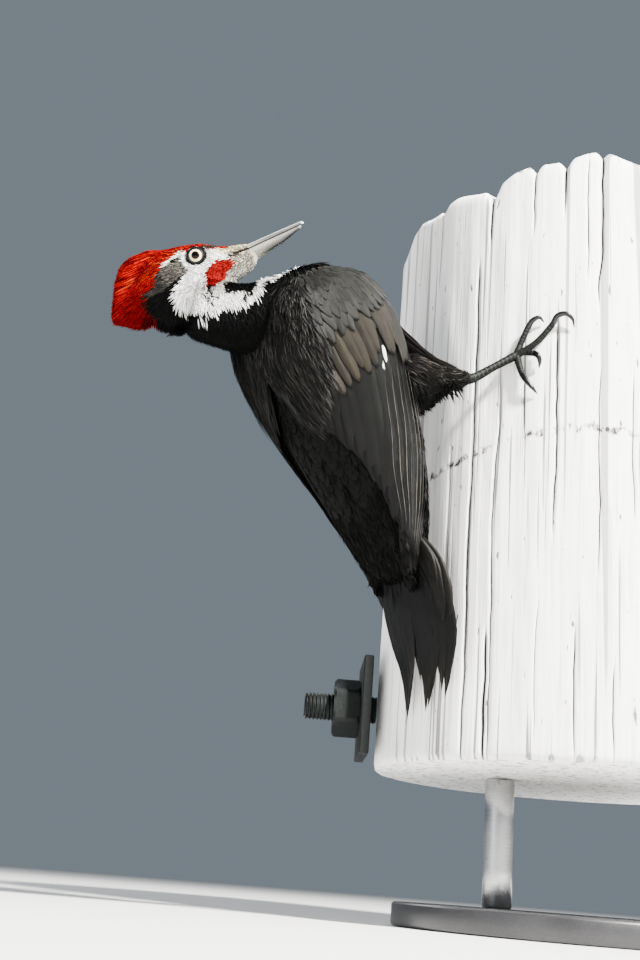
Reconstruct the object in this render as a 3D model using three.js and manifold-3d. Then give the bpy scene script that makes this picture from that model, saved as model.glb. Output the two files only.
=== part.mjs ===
// A life-size pileated woodpecker (male) clinging to a short length of weathered pole,
// looking back over its right side, on a plain display stand. Millimetres, +Z up.
// The origin is the middle of the base's underside, and the pole's axis is the Z axis.
import * as THREE from 'three';
import { mergeVertices } from 'three/addons/utils/BufferGeometryUtils.js';
import Module from 'manifold-3d';

const wasm = await Module();
wasm.setup();

// ---------------------------------------------------------------- driving dimensions
const GAP = 0.35; // between neighbouring pieces
const BASE = { radius: 130, thickness: 15, bevel: 2, facets: 40 };
const ROD = { radius: 10, spacing: 60, facets: 20 };
const POLE = { radius: 148, foot: 100, top: 500, crown: 8, facets: 48, levels: 3 };
const BOLT = { height: 140, washer: 66, plate: 6.5, standOff: 5.5 };
const NUT = { across: 36, thick: 18 };
const STUD = { radius: 9.5, reach: 21 };
const BIRD_TURN = -146; // degrees from +X to the way the bird's back faces
const HEAD = { place: [317.2, -1.3, 392.4], turn: 46.1, raise: 29.5, tilt: 24.3 };
const EYE = { radius: 7, forward: -22.9, side: 9.2, up: 8.4 };
const BILL = { length: 46.9, mouth: -3 };
const TAIL = { feathers: 6, thick: 1.6, steps: 10, notch: 0.14 };
const WING = { steps: 16, spans: 8, thin: 0.9, depth: 6 };
const TOE = { radius: 2.3, facets: 6 };
const CLAW = { radius: 1.9, facets: 5 };

// --------------------------------------------------------------------------- shaping
const AXIS = {
  right: new THREE.Vector3(0, 1, 0),
  up: new THREE.Vector3(0, 0, 1),
};
const degrees = THREE.MathUtils.degToRad;

// A rounded form is a run of stations. Each has a place on the spine, a half width,
// and how far the section reaches over and under the spine.
function station(place, wide, over, under) {
  return { place: new THREE.Vector3(...place), size: new THREE.Vector3(wide, over, under) };
}

function roundedForm(stations, across, fullness = 2.2) {
  const spine = new THREE.CatmullRomCurve3(stations.map((s) => s.place));
  const sizes = new THREE.CatmullRomCurve3(stations.map((s) => s.size));
  const power = 2 / fullness;
  const rounded = (value) => Math.sign(value) * Math.abs(value) ** power;
  return {
    at(t, angle, lift = 0, shrink = 1, slide = 0) {
      const size = sizes.getPoint(t);
      const along = spine.getTangent(t);
      const side = across.clone().addScaledVector(along, -across.dot(along)).normalize();
      const over = side.clone().cross(along);
      const c = Math.cos(angle);
      const s = Math.sin(angle);
      const rise = rounded(c) * ((c > 0 ? size.y : size.z) + lift) * shrink;
      const reach = rounded(s) * (size.x + lift) * shrink;
      return spine.getPoint(t).addScaledVector(over, rise)
        .addScaledVector(side, reach).addScaledVector(along, slide);
    },
  };
}

// A closed body along a form, with a rounded dome at each end.
function loft(form, options) {
  const { from = 0, to = 1, rings = 12, facets = 20, domes = [4, 4], curve = 3, grow = 0 } = options;
  const rows = [];
  for (let k = 1; k <= curve; k += 1) {
    const turn = (k / (curve + 1)) * Math.PI * 0.5;
    rows.push([from, Math.sin(turn), -Math.cos(turn) * (domes[0] + grow)]);
  }
  for (let i = 0; i <= rings; i += 1) rows.push([from + ((to - from) * i) / rings, 1, 0]);
  for (let k = curve; k >= 1; k -= 1) {
    const turn = (k / (curve + 1)) * Math.PI * 0.5;
    rows.push([to, Math.sin(turn), Math.cos(turn) * (domes[1] + grow)]);
  }
  const points = [form.at(from, 0, 0, 0, -domes[0] - grow)];
  rows.forEach(([t, shrink, slide]) => {
    for (let j = 0; j < facets; j += 1) {
      points.push(form.at(t, (j / facets) * Math.PI * 2, grow, shrink, slide));
    }
  });
  points.push(form.at(to, 0, 0, 0, domes[1] + grow));
  const index = [];
  const last = points.length - 1;
  const ring = (i, j) => 1 + i * facets + (j % facets);
  for (let j = 0; j < facets; j += 1) {
    index.push(0, ring(0, j + 1), ring(0, j));
    index.push(last, ring(rows.length - 1, j), ring(rows.length - 1, j + 1));
    for (let i = 0; i < rows.length - 1; i += 1) {
      index.push(ring(i, j), ring(i, j + 1), ring(i + 1, j + 1));
      index.push(ring(i, j), ring(i + 1, j + 1), ring(i + 1, j));
    }
  }
  return outward(points, index);
}

// A thin closed shell from two faces of the same grid of points.
function shell(steps, spans, face) {
  const points = [];
  [1, 0].forEach((side) => {
    for (let i = 0; i <= steps; i += 1) {
      for (let j = 0; j <= spans; j += 1) points.push(face(i / steps, j / spans, side));
    }
  });
  const half = (steps + 1) * (spans + 1);
  const at = (i, j, side) => side * half + i * (spans + 1) + j;
  const index = [];
  const quad = (a, b, c, d) => index.push(a, b, c, a, c, d);
  for (let i = 0; i < steps; i += 1) {
    for (let j = 0; j < spans; j += 1) {
      quad(at(i, j, 0), at(i + 1, j, 0), at(i + 1, j + 1, 0), at(i, j + 1, 0));
      quad(at(i, j, 1), at(i, j + 1, 1), at(i + 1, j + 1, 1), at(i + 1, j, 1));
    }
    quad(at(i, 0, 0), at(i, 0, 1), at(i + 1, 0, 1), at(i + 1, 0, 0));
    quad(at(i, spans, 0), at(i + 1, spans, 0), at(i + 1, spans, 1), at(i, spans, 1));
  }
  for (let j = 0; j < spans; j += 1) {
    quad(at(0, j, 0), at(0, j + 1, 0), at(0, j + 1, 1), at(0, j, 1));
    quad(at(steps, j, 0), at(steps, j, 1), at(steps, j + 1, 1), at(steps, j + 1, 0));
  }
  return outward(points, index);
}

// Builds the geometry and turns its faces outward by the sign of its volume.
function outward(points, index) {
  let volume = 0;
  const cross = new THREE.Vector3();
  for (let k = 0; k < index.length; k += 3) {
    cross.crossVectors(points[index[k + 1]], points[index[k + 2]]);
    volume += cross.dot(points[index[k]]);
  }
  if (volume < 0) index.reverse();
  const geometry = new THREE.BufferGeometry().setFromPoints(points);
  geometry.setIndex(index);
  return geometry;
}

// ------------------------------------------------------------------ joining and cutting
function solid(geometry) {
  const plain = geometry.clone();
  plain.deleteAttribute('normal');
  plain.deleteAttribute('uv');
  const merged = mergeVertices(plain, 1e-4);
  const vertProperties = new Float32Array(merged.attributes.position.array);
  const triVerts = new Uint32Array(merged.index.array);
  return new wasm.Manifold(new wasm.Mesh({ numProp: 3, vertProperties, triVerts }));
}

function fromSolid(body) {
  const cut = body.getMesh();
  const geometry = new THREE.BufferGeometry();
  geometry.setAttribute('position', new THREE.BufferAttribute(cut.vertProperties, 3));
  geometry.setIndex(new THREE.BufferAttribute(cut.triVerts, 1));
  return geometry;
}

function without(geometry, ...cutters) {
  return fromSolid(cutters.reduce((body, cutter) => body.subtract(solid(cutter)), solid(geometry)));
}

function joined(...geometries) {
  return fromSolid(geometries.map(solid).reduce((body, other) => body.add(other)));
}

function mirrored(geometry) {
  const copy = geometry.clone().scale(1, -1, 1);
  copy.setIndex(Array.from(copy.index.array).reverse());
  return copy;
}

// -------------------------------------------------------------------------- materials
function finish(colour, roughness, metalness = 0) {
  return new THREE.MeshStandardMaterial({ color: colour, roughness, metalness });
}

const FINISH = {
  black: finish(0x1c1a19, 0.6),
  brown: finish(0x2e2622, 0.6),
  red: finish(0xc8140f, 0.65),
  horn: finish(0x9a9c9a, 0.4),
  foot: finish(0x3c3f3f, 0.55),
  claw: finish(0x15171a, 0.3),
  eye: finish(0xd9cf9c, 0.1),
  wood: finish(0xd9dadb, 0.85),
  iron: finish(0x3a4442, 0.6, 0.6),
  stand: finish(0x2a2a2c, 0.5),
  steel: finish(0x8c8f92, 0.35, 1),
};

function part(name, geometry, material) {
  geometry.computeVertexNormals();
  const mesh = new THREE.Mesh(geometry, material);
  mesh.name = name;
  return mesh;
}

const group = new THREE.Group();

// ------------------------------------------------------------------------------ stand
// A flat turned disc with a small bevel, carrying two short rods up to the pole.
function standBase() {
  const { radius, thickness, bevel, facets } = BASE;
  const outline = [
    [0, 0], [radius - bevel * 0.5, 0], [radius, bevel * 0.5],
    [radius, thickness - bevel], [radius - bevel, thickness], [0, thickness],
  ];
  const lathe = new THREE.LatheGeometry(outline.map(([r, z]) => new THREE.Vector2(r, z)), facets);
  return lathe.rotateX(Math.PI / 2);
}

function standRod() {
  const length = POLE.foot - BASE.thickness - 2 * GAP;
  const rod = new THREE.CylinderGeometry(ROD.radius, ROD.radius, length, ROD.facets);
  return rod.rotateX(Math.PI / 2);
}

group.add(part('stand_base', standBase(), FINISH.stand));
[-1, 1].forEach((side, i) => {
  const rod = part(`stand_rod_${i + 1}`, standRod(), FINISH.steel);
  rod.position.set(side * ROD.spacing, 0, (POLE.foot + BASE.thickness) / 2);
  group.add(rod);
});

// ------------------------------------------------------------------------------- pole
// A cut length of old pole. Its top is weathered into an uneven rim, and its foot is sawn.
function poleRim(angle) {
  const steps = Math.sin(angle * 3 + 0.6) * 5 + Math.sin(angle * 7 + 2) * 3;
  return POLE.top + steps + Math.sin(angle * 17) * 2.5;
}

function poleGeometry() {
  const { radius, foot, facets, levels } = POLE;
  const points = [new THREE.Vector3(0, 0, foot)];
  for (let i = 0; i <= levels; i += 1) {
    for (let j = 0; j < facets; j += 1) {
      const angle = (j / facets) * Math.PI * 2;
      const height = foot + ((poleRim(angle) - foot) * i) / levels;
      points.push(new THREE.Vector3(Math.cos(angle) * radius, Math.sin(angle) * radius, height));
    }
  }
  points.push(new THREE.Vector3(0, 0, POLE.top + POLE.crown));
  const index = [];
  const ring = (i, j) => 1 + i * facets + (j % facets);
  const last = points.length - 1;
  for (let j = 0; j < facets; j += 1) {
    index.push(0, ring(0, j + 1), ring(0, j), last, ring(levels, j), ring(levels, j + 1));
    for (let i = 0; i < levels; i += 1) {
      index.push(ring(i, j), ring(i, j + 1), ring(i + 1, j + 1));
      index.push(ring(i, j), ring(i + 1, j + 1), ring(i + 1, j));
    }
  }
  return outward(points, index);
}

group.add(part('perch_pole', poleGeometry(), FINISH.wood));

// ------------------------------------------------------------------------------- bolt
// The end of a through bolt that is left in the pole: square washer, nut and stud.
function boltPiece(name, geometry, from, length) {
  const piece = part(name, geometry, FINISH.iron);
  piece.position.set(-POLE.radius - from - length / 2, 0, BOLT.height);
  group.add(piece);
}

function bored(geometry, length) {
  const bore = new THREE.CylinderGeometry(STUD.radius + GAP, STUD.radius + GAP, length * 2, 24);
  return without(geometry, bore.rotateZ(Math.PI / 2));
}

const washer = new THREE.BoxGeometry(BOLT.plate, BOLT.washer, BOLT.washer);
const nutCorner = NUT.across / Math.sqrt(3);
const nut = new THREE.CylinderGeometry(nutCorner, nutCorner, NUT.thick, 6);
nut.rotateZ(Math.PI / 2);
const stud = new THREE.CylinderGeometry(
  STUD.radius, STUD.radius,
  BOLT.standOff + BOLT.plate + NUT.thick + STUD.reach - GAP, 24,
);
stud.rotateZ(Math.PI / 2);
boltPiece('pole_washer', bored(washer, BOLT.plate), BOLT.standOff, BOLT.plate);
boltPiece('pole_nut', bored(nut, NUT.thick), BOLT.standOff + BOLT.plate + GAP, NUT.thick);
boltPiece('pole_bolt', stud, GAP, BOLT.standOff + BOLT.plate + NUT.thick + STUD.reach - GAP);

// ------------------------------------------------------------------------------- bird
// In the bird's own frame X points out from the pole, along its back's facing, Y to the
// bird's right, and Z up. The pole's axis stays the Z axis.
const bird = new THREE.Group();
bird.rotation.z = degrees(BIRD_TURN);
group.add(bird);

// Trunk: from the tail coverts up to the shoulders, leaning out from the pole.
const trunkForm = roundedForm([
  station([166, 0, 198], 14, 9, 7),
  station([176, 0, 222], 22, 17, 15),
  station([189, 0, 248], 31, 27, 28),
  station([207, 0, 282], 39, 37, 37),
  station([229, 0, 318], 45, 45, 41),
  station([249, 0, 350], 47, 46, 42),
  station([265, 0, 374], 42, 40, 36),
  station([274, 0, 389], 29, 27, 24),
], AXIS.right);
const TRUNK = { from: 0.13, to: 1, rings: 13, facets: 24, domes: [9, 7] };
const trunk = loft(trunkForm, TRUNK);
const trunkRoom = loft(trunkForm, { ...TRUNK, grow: GAP });

// Wings: folded shells that lie on the trunk, from the wrist at the shoulder to the tips
// over the tail. The edge towards the breast and the edge towards the spine are angles
// round the trunk, from its back, and t runs up the trunk.
const wingStations = [
  { t: 0.03, breast: 57, spine: 47, thick: 1.2 },
  { t: 0.14, breast: 82, spine: 55, thick: 1.8 },
  { t: 0.29, breast: 100, spine: 60, thick: 2.4 },
  { t: 0.43, breast: 113, spine: 50, thick: 3.4 },
  { t: 0.57, breast: 118, spine: 34, thick: 5 },
  { t: 0.71, breast: 122, spine: 22, thick: 6.5 },
  { t: 0.85, breast: 112, spine: 22, thick: 6.5 },
  { t: 0.96, breast: 86, spine: 40, thick: 3 },
];
const wingEdges = new THREE.CatmullRomCurve3(
  wingStations.map((s) => new THREE.Vector3(s.breast, s.spine, s.thick)),
);
const wingRun = new THREE.SplineCurve(wingStations.map((s) => new THREE.Vector2(s.t, 0)));
function wingPoint(along, over, side) {
  const edge = wingEdges.getPoint(along);
  const t = Math.max(wingRun.getPoint(along).x, 0);
  const angle = degrees(THREE.MathUtils.lerp(edge.x, edge.y, over));
  const swell = Math.sin(Math.PI * THREE.MathUtils.clamp(0.22 + over * 0.78, 0, 1)) ** 0.6;
  const lift = side ? WING.thin + edge.z * swell : 0;
  return trunkForm.at(t, angle, GAP * 1.6 + lift);
}
const wing = shell(WING.steps, WING.spans, wingPoint);
const wingRoom = shell(WING.steps, WING.spans, (along, over, side) => {
  const wide = over * 1.1 - 0.05;
  const point = wingPoint(along, wide, side);
  const outwards = wingPoint(along, over, 1).sub(wingPoint(along, over, 0)).normalize();
  return point.addScaledVector(outwards, side ? GAP : -WING.depth);
});
const wingRooms = [wingRoom, mirrored(wingRoom)];

// Head: built in its own frame, X along the bill, Y to its left, Z to the crown.
const headFrame = new THREE.Matrix4();
function placeHead() {
  const level = Math.cos(degrees(HEAD.raise));
  const forward = new THREE.Vector3(
    -Math.cos(degrees(HEAD.turn)) * level,
    Math.sin(degrees(HEAD.turn)) * level,
    Math.sin(degrees(HEAD.raise)),
  );
  const crown = AXIS.up.clone().addScaledVector(forward, -forward.z).normalize();
  crown.applyAxisAngle(forward, degrees(HEAD.tilt));
  headFrame.makeBasis(forward, crown.clone().cross(forward), crown);
  headFrame.setPosition(...HEAD.place);
}
placeHead();

const headForm = roundedForm([
  station([10.5, 0, -3.8], 4.5, 6, 6),
  station([3.8, 0, -3.8], 7.1, 8.0, 9.2),
  station([-5.7, 0, -2.8], 10.4, 10.5, 12.6),
  station([-19, 0, -1], 14.7, 17.4, 17.6),
  station([-34, 0, 0], 16.6, 21.8, 20.8),
  station([-47.4, 0, 0], 16, 24.6, 26),
  station([-59.5, 0, -2], 12.5, 17, 25),
], new THREE.Vector3(0, 1, 0));
const HEAD_LOFT = { rings: 12, facets: 18, domes: [2.5, 6] };

// Crest: a blade of swept-back feathers behind the crown.
const crestForm = roundedForm([
  station([-32, 0, 11.4], 8.5, 7.6, 7.6),
  station([-47, 0, 16], 9.5, 12.5, 13.3),
  station([-61, 0, 12], 8, 17.5, 21),
  station([-72, 0, 3.5], 6, 13, 19),
  station([-82, 0, -4], 3.6, 9, 14),
], new THREE.Vector3(0, 1, 0));
const crestBlade = loft(crestForm, { rings: 8, facets: 16, domes: [2, 4] });

function inHead(geometry) {
  return geometry.applyMatrix4(headFrame);
}
const headSolid = inHead(loft(headForm, HEAD_LOFT));
const headRoom = inHead(loft(headForm, { ...HEAD_LOFT, grow: GAP }));

// Neck: bent back over the shoulders, from the trunk into the underside of the head.
const neckForm = roundedForm([
  station([262, 0, 362], 24, 26, 22),
  station([283, 0, 362], 24, 27, 23),
  station([300, -2, 356], 21, 23.5, 20),
  station([316, -7, 354], 20, 22.5, 20),
  station([331, -14, 358], 18, 23, 18),
], AXIS.right);
const NECK = { rings: 7, facets: 18, domes: [6, 6] };
const neckRoom = loft(neckForm, { ...NECK, grow: GAP });
const neck = without(loft(neckForm, NECK), trunkRoom, headRoom, ...wingRooms);
const crest = without(inHead(crestBlade), headRoom, neckRoom);

// Eyes: balls set into the sides of the head.
function eyeBall(side, grow) {
  const ball = new THREE.SphereGeometry(EYE.radius + grow, 12, 9);
  ball.translate(EYE.forward, side * EYE.side, EYE.up);
  return inHead(ball);
}

// Bill: two straight chisel halves that meet along the mouth line.
const mouthLine = (x) => -0.4 - x * 0.035;
function billHalf(upper, grow) {
  const rise = upper ? 1 : -1;
  const reach = upper ? [3.2, 2.9, 2.5, 1.9] : [8.4, 8.2, 5.6, 1];
  const places = [BILL.mouth, 11.4, 28.4, upper ? BILL.length : BILL.length - 2.5];
  const widths = [5.1, 4.6, 3.1, 1.4];
  const form = roundedForm(places.map((x, i) => station(
    [x, 0, mouthLine(x) + rise * 0.18],
    widths[i], upper ? reach[i] : 0.02, upper ? 0.02 : reach[i],
  )), new THREE.Vector3(0, -1, 0), 1.7);
  return inHead(loft(form, { rings: 5, facets: 12, domes: [0.5, 0.8], curve: 1, grow }));
}

const head = without(headSolid, eyeBall(1, GAP), eyeBall(-1, GAP));
bird.add(part('trunk', trunk, FINISH.black));
bird.add(part('neck', neck, FINISH.black));
bird.add(part('head', head, FINISH.black));
bird.add(part('crest', crest, FINISH.red));
bird.add(part('bill_upper', without(billHalf(true, 0), headRoom), FINISH.horn));
bird.add(part('bill_lower', without(billHalf(false, 0), headRoom), FINISH.horn));
bird.add(part('eye_left', eyeBall(1, 0), FINISH.eye));
bird.add(part('eye_right', eyeBall(-1, 0), FINISH.eye));

// Tail: a stiff fan with pointed feather tips that prop on the pole.
const tailStations = [
  { out: 187, up: 246, middle: 0, half: 11 },
  { out: 175, up: 217, middle: 5, half: 25 },
  { out: 165.5, up: 187, middle: 7, half: 28.5 },
  { out: 155, up: 155, middle: 6, half: 22 },
  { out: 150.6, up: 124, middle: 3.5, half: 18.5 },
];
const tailLine = new THREE.CatmullRomCurve3(
  tailStations.map((s) => new THREE.Vector3(s.out, s.middle, s.up)),
);
const tailHalf = new THREE.SplineCurve(tailStations.map((s) => new THREE.Vector2(s.half, 0)));
function tailPoint(along, over, side) {
  const across = over * 2 - 1;
  const feather = Math.abs(Math.sin(over * Math.PI * TAIL.feathers));
  const pair = Math.abs(Math.sin((over * Math.PI * TAIL.feathers) / 2));
  const notch = TAIL.notch * (1 - feather) * (1.3 - pair);
  const worn = notch + 0.07 * Math.max(0, across) ** 2;
  const reach = along * (1 - worn * along ** 3);
  const y = across * tailHalf.getPoint(reach).x;
  const spot = tailLine.getPoint(reach);
  const thick = TAIL.thick * (1.5 - 0.8 * along);
  return spot.add(new THREE.Vector3((side ? thick : 0) - y * y / 290, y, 0));
}
const tailPlate = shell(TAIL.steps, TAIL.feathers * 2, tailPoint);
const tail = without(tailPlate, trunkRoom);
bird.add(part('tail', tail, FINISH.black));
bird.add(part('wing_right', wing, FINISH.brown));
bird.add(part('wing_left', mirrored(wing), FINISH.brown));

// Thighs, feet and claws. The right leg reaches round the pole, and the left mirrors it.
const HEEL = [162, 49, 340.5];
const ANKLE = [138.3, 63.5, 359.3];
const thighForm = roundedForm([
  station([210, 28.5, 328], 17, 36, 25),
  station([196, 30, 332], 18, 32, 28),
  station([183, 38, 336], 11, 17, 15),
  station([175, 43.5, 337.5], 7.5, 8.5, 8.5),
  station([166.5, 47.5, 339.5], 4.6, 5, 5),
], AXIS.up);
const thighWhole = loft(thighForm, { rings: 6, facets: 14, domes: [4, 2.5] });
const thigh = without(thighWhole, trunkRoom, ...wingRooms);

// A place on the pole by its angle from the bird's middle, its height and its lift.
function onPole(angle, height, lift) {
  const r = POLE.radius + lift;
  return [r * Math.cos(degrees(angle)), r * Math.sin(degrees(angle)), height];
}

function bar(places, radii, facets, domes, grow = 0) {
  const form = roundedForm(places.map((place, i) => station(
    place, radii[i], radii[i], radii[i],
  )), new THREE.Vector3(1, 0.45, 0).normalize(), 2);
  return loft(form, { rings: places.length + 1, facets, domes, curve: 1, grow });
}

const SHANK = { places: [HEEL, [150, 56.5, 350], ANKLE], radii: [3.3, 2.5, 2.9], facets: 8 };
const shankBar = (grow) => bar(SHANK.places, SHANK.radii, SHANK.facets, [1.5, 2], grow);
const toes = {
  inner: [onPole(24.9, 360, 3.6), onPole(25.6, 366, 3), onPole(27.3, 377.5, 2.7)],
  front: [
    onPole(24.9, 360, 3.6), onPole(27.3, 363.2, 3), onPole(30.3, 368.6, 2.8), onPole(33.7, 379, 2.8),
  ],
  outer: [onPole(24.9, 360, 3.6), onPole(26.3, 361.8, 2.9), onPole(28.9, 360.4, 2.7)],
  back: [onPole(24.9, 360, 3.6), onPole(25.6, 353, 3), onPole(26.3, 347.4, 2.8)],
};
const claws = {
  inner: [
    onPole(27.55, 378.7, 2.8), onPole(28.9, 382.8, 4.3), onPole(30.5, 385.2, 3.4),
    onPole(31.6, 382.4, 0.9),
  ],
  front: [
    onPole(34.05, 380.3, 2.9), onPole(35.2, 384.4, 4.6), onPole(37.3, 385.4, 4.8),
    onPole(38.8, 382, 3.2), onPole(39.1, 377.2, 0.9),
  ],
  outer: [
    onPole(29.5, 360.1, 2.7), onPole(30.5, 357.6, 3.9), onPole(30.9, 353.9, 2.9),
    onPole(30.5, 350.2, 0.9),
  ],
  back: [
    onPole(26.5, 346.1, 2.8), onPole(27.6, 341.4, 3.9), onPole(29.1, 336.2, 2.9),
    onPole(30.2, 332.3, 0.9),
  ],
};
const toeRadii = [TOE.radius, TOE.radius * 1.02, TOE.radius * 0.94, TOE.radius * 0.9];
const foot = joined(shankBar(0), ...Object.values(toes).map((places) => (
  bar(places, toeRadii.slice(0, places.length), TOE.facets, [1, 0.8])
)));
const shankRoom = shankBar(GAP);
const clawRadii = (count) => Array.from(
  { length: count },
  (_, i) => CLAW.radius * (1 - (i / (count - 1)) * 0.8),
);

[['right', (g) => g], ['left', mirrored]].forEach(([side, turned]) => {
  bird.add(part(`thigh_${side}`, turned(without(thigh, shankRoom)), FINISH.black));
  bird.add(part(`foot_${side}`, turned(foot), FINISH.foot));
  Object.entries(claws).forEach(([toe, places]) => {
    const claw = bar(places, clawRadii(places.length), CLAW.facets, [0.3, 0.3]);
    bird.add(part(`claw_${toe}_${side}`, turned(claw), FINISH.claw));
  });
});

export default group;
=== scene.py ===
import math
import bpy
import numpy as np
from mathutils import Matrix, Vector
from mathutils.bvhtree import BVHTree


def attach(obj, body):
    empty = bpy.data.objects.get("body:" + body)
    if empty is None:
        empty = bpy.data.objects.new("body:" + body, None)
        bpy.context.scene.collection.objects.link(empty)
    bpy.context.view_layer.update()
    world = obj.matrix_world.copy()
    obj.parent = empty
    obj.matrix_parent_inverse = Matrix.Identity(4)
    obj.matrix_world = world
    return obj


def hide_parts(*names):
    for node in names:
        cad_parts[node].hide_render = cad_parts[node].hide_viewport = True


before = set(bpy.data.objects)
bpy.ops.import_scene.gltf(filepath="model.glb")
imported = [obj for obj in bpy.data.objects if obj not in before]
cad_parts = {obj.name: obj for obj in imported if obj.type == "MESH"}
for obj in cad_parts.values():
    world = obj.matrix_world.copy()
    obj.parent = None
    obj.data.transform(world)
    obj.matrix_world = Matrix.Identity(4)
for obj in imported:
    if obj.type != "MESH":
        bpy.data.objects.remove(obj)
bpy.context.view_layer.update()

# ---------------- viewpoint, floor and light
# A low, near viewpoint that looks up at the bird, a plain pale floor, and broad soft
# lights: one key from the upper right, a cool fill, and a rim from behind.
MM = 0.001
VIEW_PLACE = Vector((-200, -880, 20)) * MM
VIEW_RAISE = math.radians(18)
VIEW_LEAN = math.radians(4.5)
VIEW_LENS = 46.875

eye_line = Vector((0, math.cos(VIEW_RAISE), math.sin(VIEW_RAISE)))
level = Vector((1, 0, 0))
upright = level.cross(eye_line)
view_right = level * math.cos(VIEW_LEAN) + upright * math.sin(VIEW_LEAN)
view_up = upright * math.cos(VIEW_LEAN) - level * math.sin(VIEW_LEAN)
camera_data = bpy.data.cameras.new("viewpoint")
camera_data.lens = VIEW_LENS
camera_data.clip_start = 0.01
camera = bpy.data.objects.new("viewpoint", camera_data)
turned_view = Matrix((view_right, view_up, -eye_line)).transposed().to_4x4()
camera.matrix_world = Matrix.Translation(VIEW_PLACE) @ turned_view
bpy.context.scene.collection.objects.link(camera)
bpy.context.scene.camera = camera


class Wiring:
    """Adds shader nodes to one tree; what is fed to a socket is a value or another socket."""

    def __init__(self, tree):
        self.tree = tree

    def feed(self, socket, value):
        if isinstance(value, bpy.types.NodeSocket):
            self.tree.links.new(value, socket)
        else:
            socket.default_value = value

    def add(self, kind, inputs, **settings):
        node = self.tree.nodes.new("ShaderNode" + kind)
        for key, value in settings.items():
            setattr(node, key, value)
        for key, value in inputs.items():
            self.feed(node.inputs[key], value)
        return node.outputs

    def place(self):
        return self.add("TexCoord", {})["Object"]

    def attribute(self, name, output="Fac"):
        return self.add("Attribute", {}, attribute_name=name)[output]

    def noise(self, vector, scale, detail, distortion=0.0):
        inputs = {"Vector": vector, "Scale": scale, "Detail": detail, "Distortion": distortion}
        return self.add("TexNoise", inputs)["Fac"]

    def math(self, kind, first, second=0.5):
        return self.add("Math", {0: first, 1: second}, operation=kind)[0]

    def ranged(self, value, low, high, to_low=0.0, to_high=1.0):
        return self.add("MapRange", {0: value, 1: low, 2: high, 3: to_low, 4: to_high})[0]

    def stretched(self, vector, factors):
        return self.add("VectorMath", {0: vector, 1: factors}, operation="MULTIPLY")[0]

    def scaled(self, colour, gain):
        return self.add("VectorMath", {0: colour, "Scale": gain}, operation="SCALE")[0]

    def blend(self, amount, first, second, kind="MIX"):
        return self.add("MixRGB", {0: amount, 1: first, 2: second}, blend_type=kind)[0]

    def ramp(self, factor, *stops):
        """Each stop is a place from 0 to 1 and a colour."""
        node = self.tree.nodes.new("ShaderNodeValToRGB")
        while len(node.color_ramp.elements) < len(stops):
            node.color_ramp.elements.new(0.5)
        for element, (place, colour) in zip(node.color_ramp.elements, stops):
            element.position = place
            element.color = (*colour, 1)
        self.feed(node.inputs["Fac"], factor)
        return node.outputs["Color"]

    def bump(self, shader, height, distance, strength=1.0):
        inputs = {"Height": height, "Distance": distance, "Strength": strength}
        self.feed(shader["Normal"], self.add("Bump", inputs)["Normal"])


def new_material(name, roughness=0.6, **settings):
    """A material, the wiring of its tree, and the inputs of its shader."""
    material = bpy.data.materials.new(name)
    material.use_nodes = True
    shader = material.node_tree.nodes["Principled BSDF"].inputs
    shader["Roughness"].default_value = roughness
    for socket, value in settings.items():
        shader[socket.replace("_", " ")].default_value = value
    return material, Wiring(material.node_tree), shader


def mesh_object(name, points, *face_sets, smooth=True):
    """Points are in millimetres; each face set has one row of corners per face."""
    mesh = bpy.data.meshes.new(name)
    corners = np.concatenate([np.asarray(f, np.int32).ravel() for f in face_sets])
    sizes = np.concatenate([np.full(len(f), np.shape(f)[1], np.int32) for f in face_sets])
    mesh.vertices.add(len(points))
    mesh.vertices.foreach_set("co", (np.asarray(points, np.float64) * MM).ravel())
    mesh.loops.add(len(corners))
    mesh.loops.foreach_set("vertex_index", corners)
    mesh.polygons.add(len(sizes))
    mesh.polygons.foreach_set("loop_start", np.cumsum(sizes) - sizes)
    mesh.polygons.foreach_set("use_smooth", np.full(len(sizes), smooth))
    mesh.update(calc_edges=True)
    piece = bpy.data.objects.new(name, mesh)
    bpy.context.scene.collection.objects.link(piece)
    return piece


FLOOR_REACH = 8000
floor = mesh_object(
    "floor", [(x * FLOOR_REACH, y * FLOOR_REACH, -0.5) for x, y in ((-1, -1), (1, -1), (1, 1), (-1, 1))],
    [(0, 1, 2, 3)], smooth=False,
)
floor_material, _, _ = new_material("pale_floor", roughness=0.9, Base_Color=(0.72, 0.72, 0.71, 1))
floor.data.materials.append(floor_material)

sky = bpy.data.worlds.new("studio")
sky.use_nodes = True
sky.node_tree.nodes["Background"].inputs["Color"].default_value = (0.50, 0.60, 0.70, 1)
sky.node_tree.nodes["Background"].inputs["Strength"].default_value = 0.36
bpy.context.scene.world = sky


def soft_light(name, place, aim, size, power, colour=(1, 1, 1)):
    data = bpy.data.lights.new(name, "AREA")
    data.shape = "DISK"
    data.size = size
    data.energy = power
    data.color = colour
    lamp = bpy.data.objects.new(name, data)
    lamp.location = place
    lamp.rotation_mode = "QUATERNION"
    lamp.rotation_quaternion = (Vector(aim) - Vector(place)).to_track_quat("-Z", "Y")
    bpy.context.scene.collection.objects.link(lamp)


BIRD_MIDDLE = (-0.2, -0.13, 0.32)
soft_light("key", (0.9, -1.5, 1.7), BIRD_MIDDLE, 0.30, 520, (1.0, 0.97, 0.93))
soft_light("fill", (-1.6, -1.3, 0.7), BIRD_MIDDLE, 1.6, 12, (0.90, 0.95, 1.0))
soft_light("rim", (-1.2, 1.3, 1.4), BIRD_MIDDLE, 1.0, 24)


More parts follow.
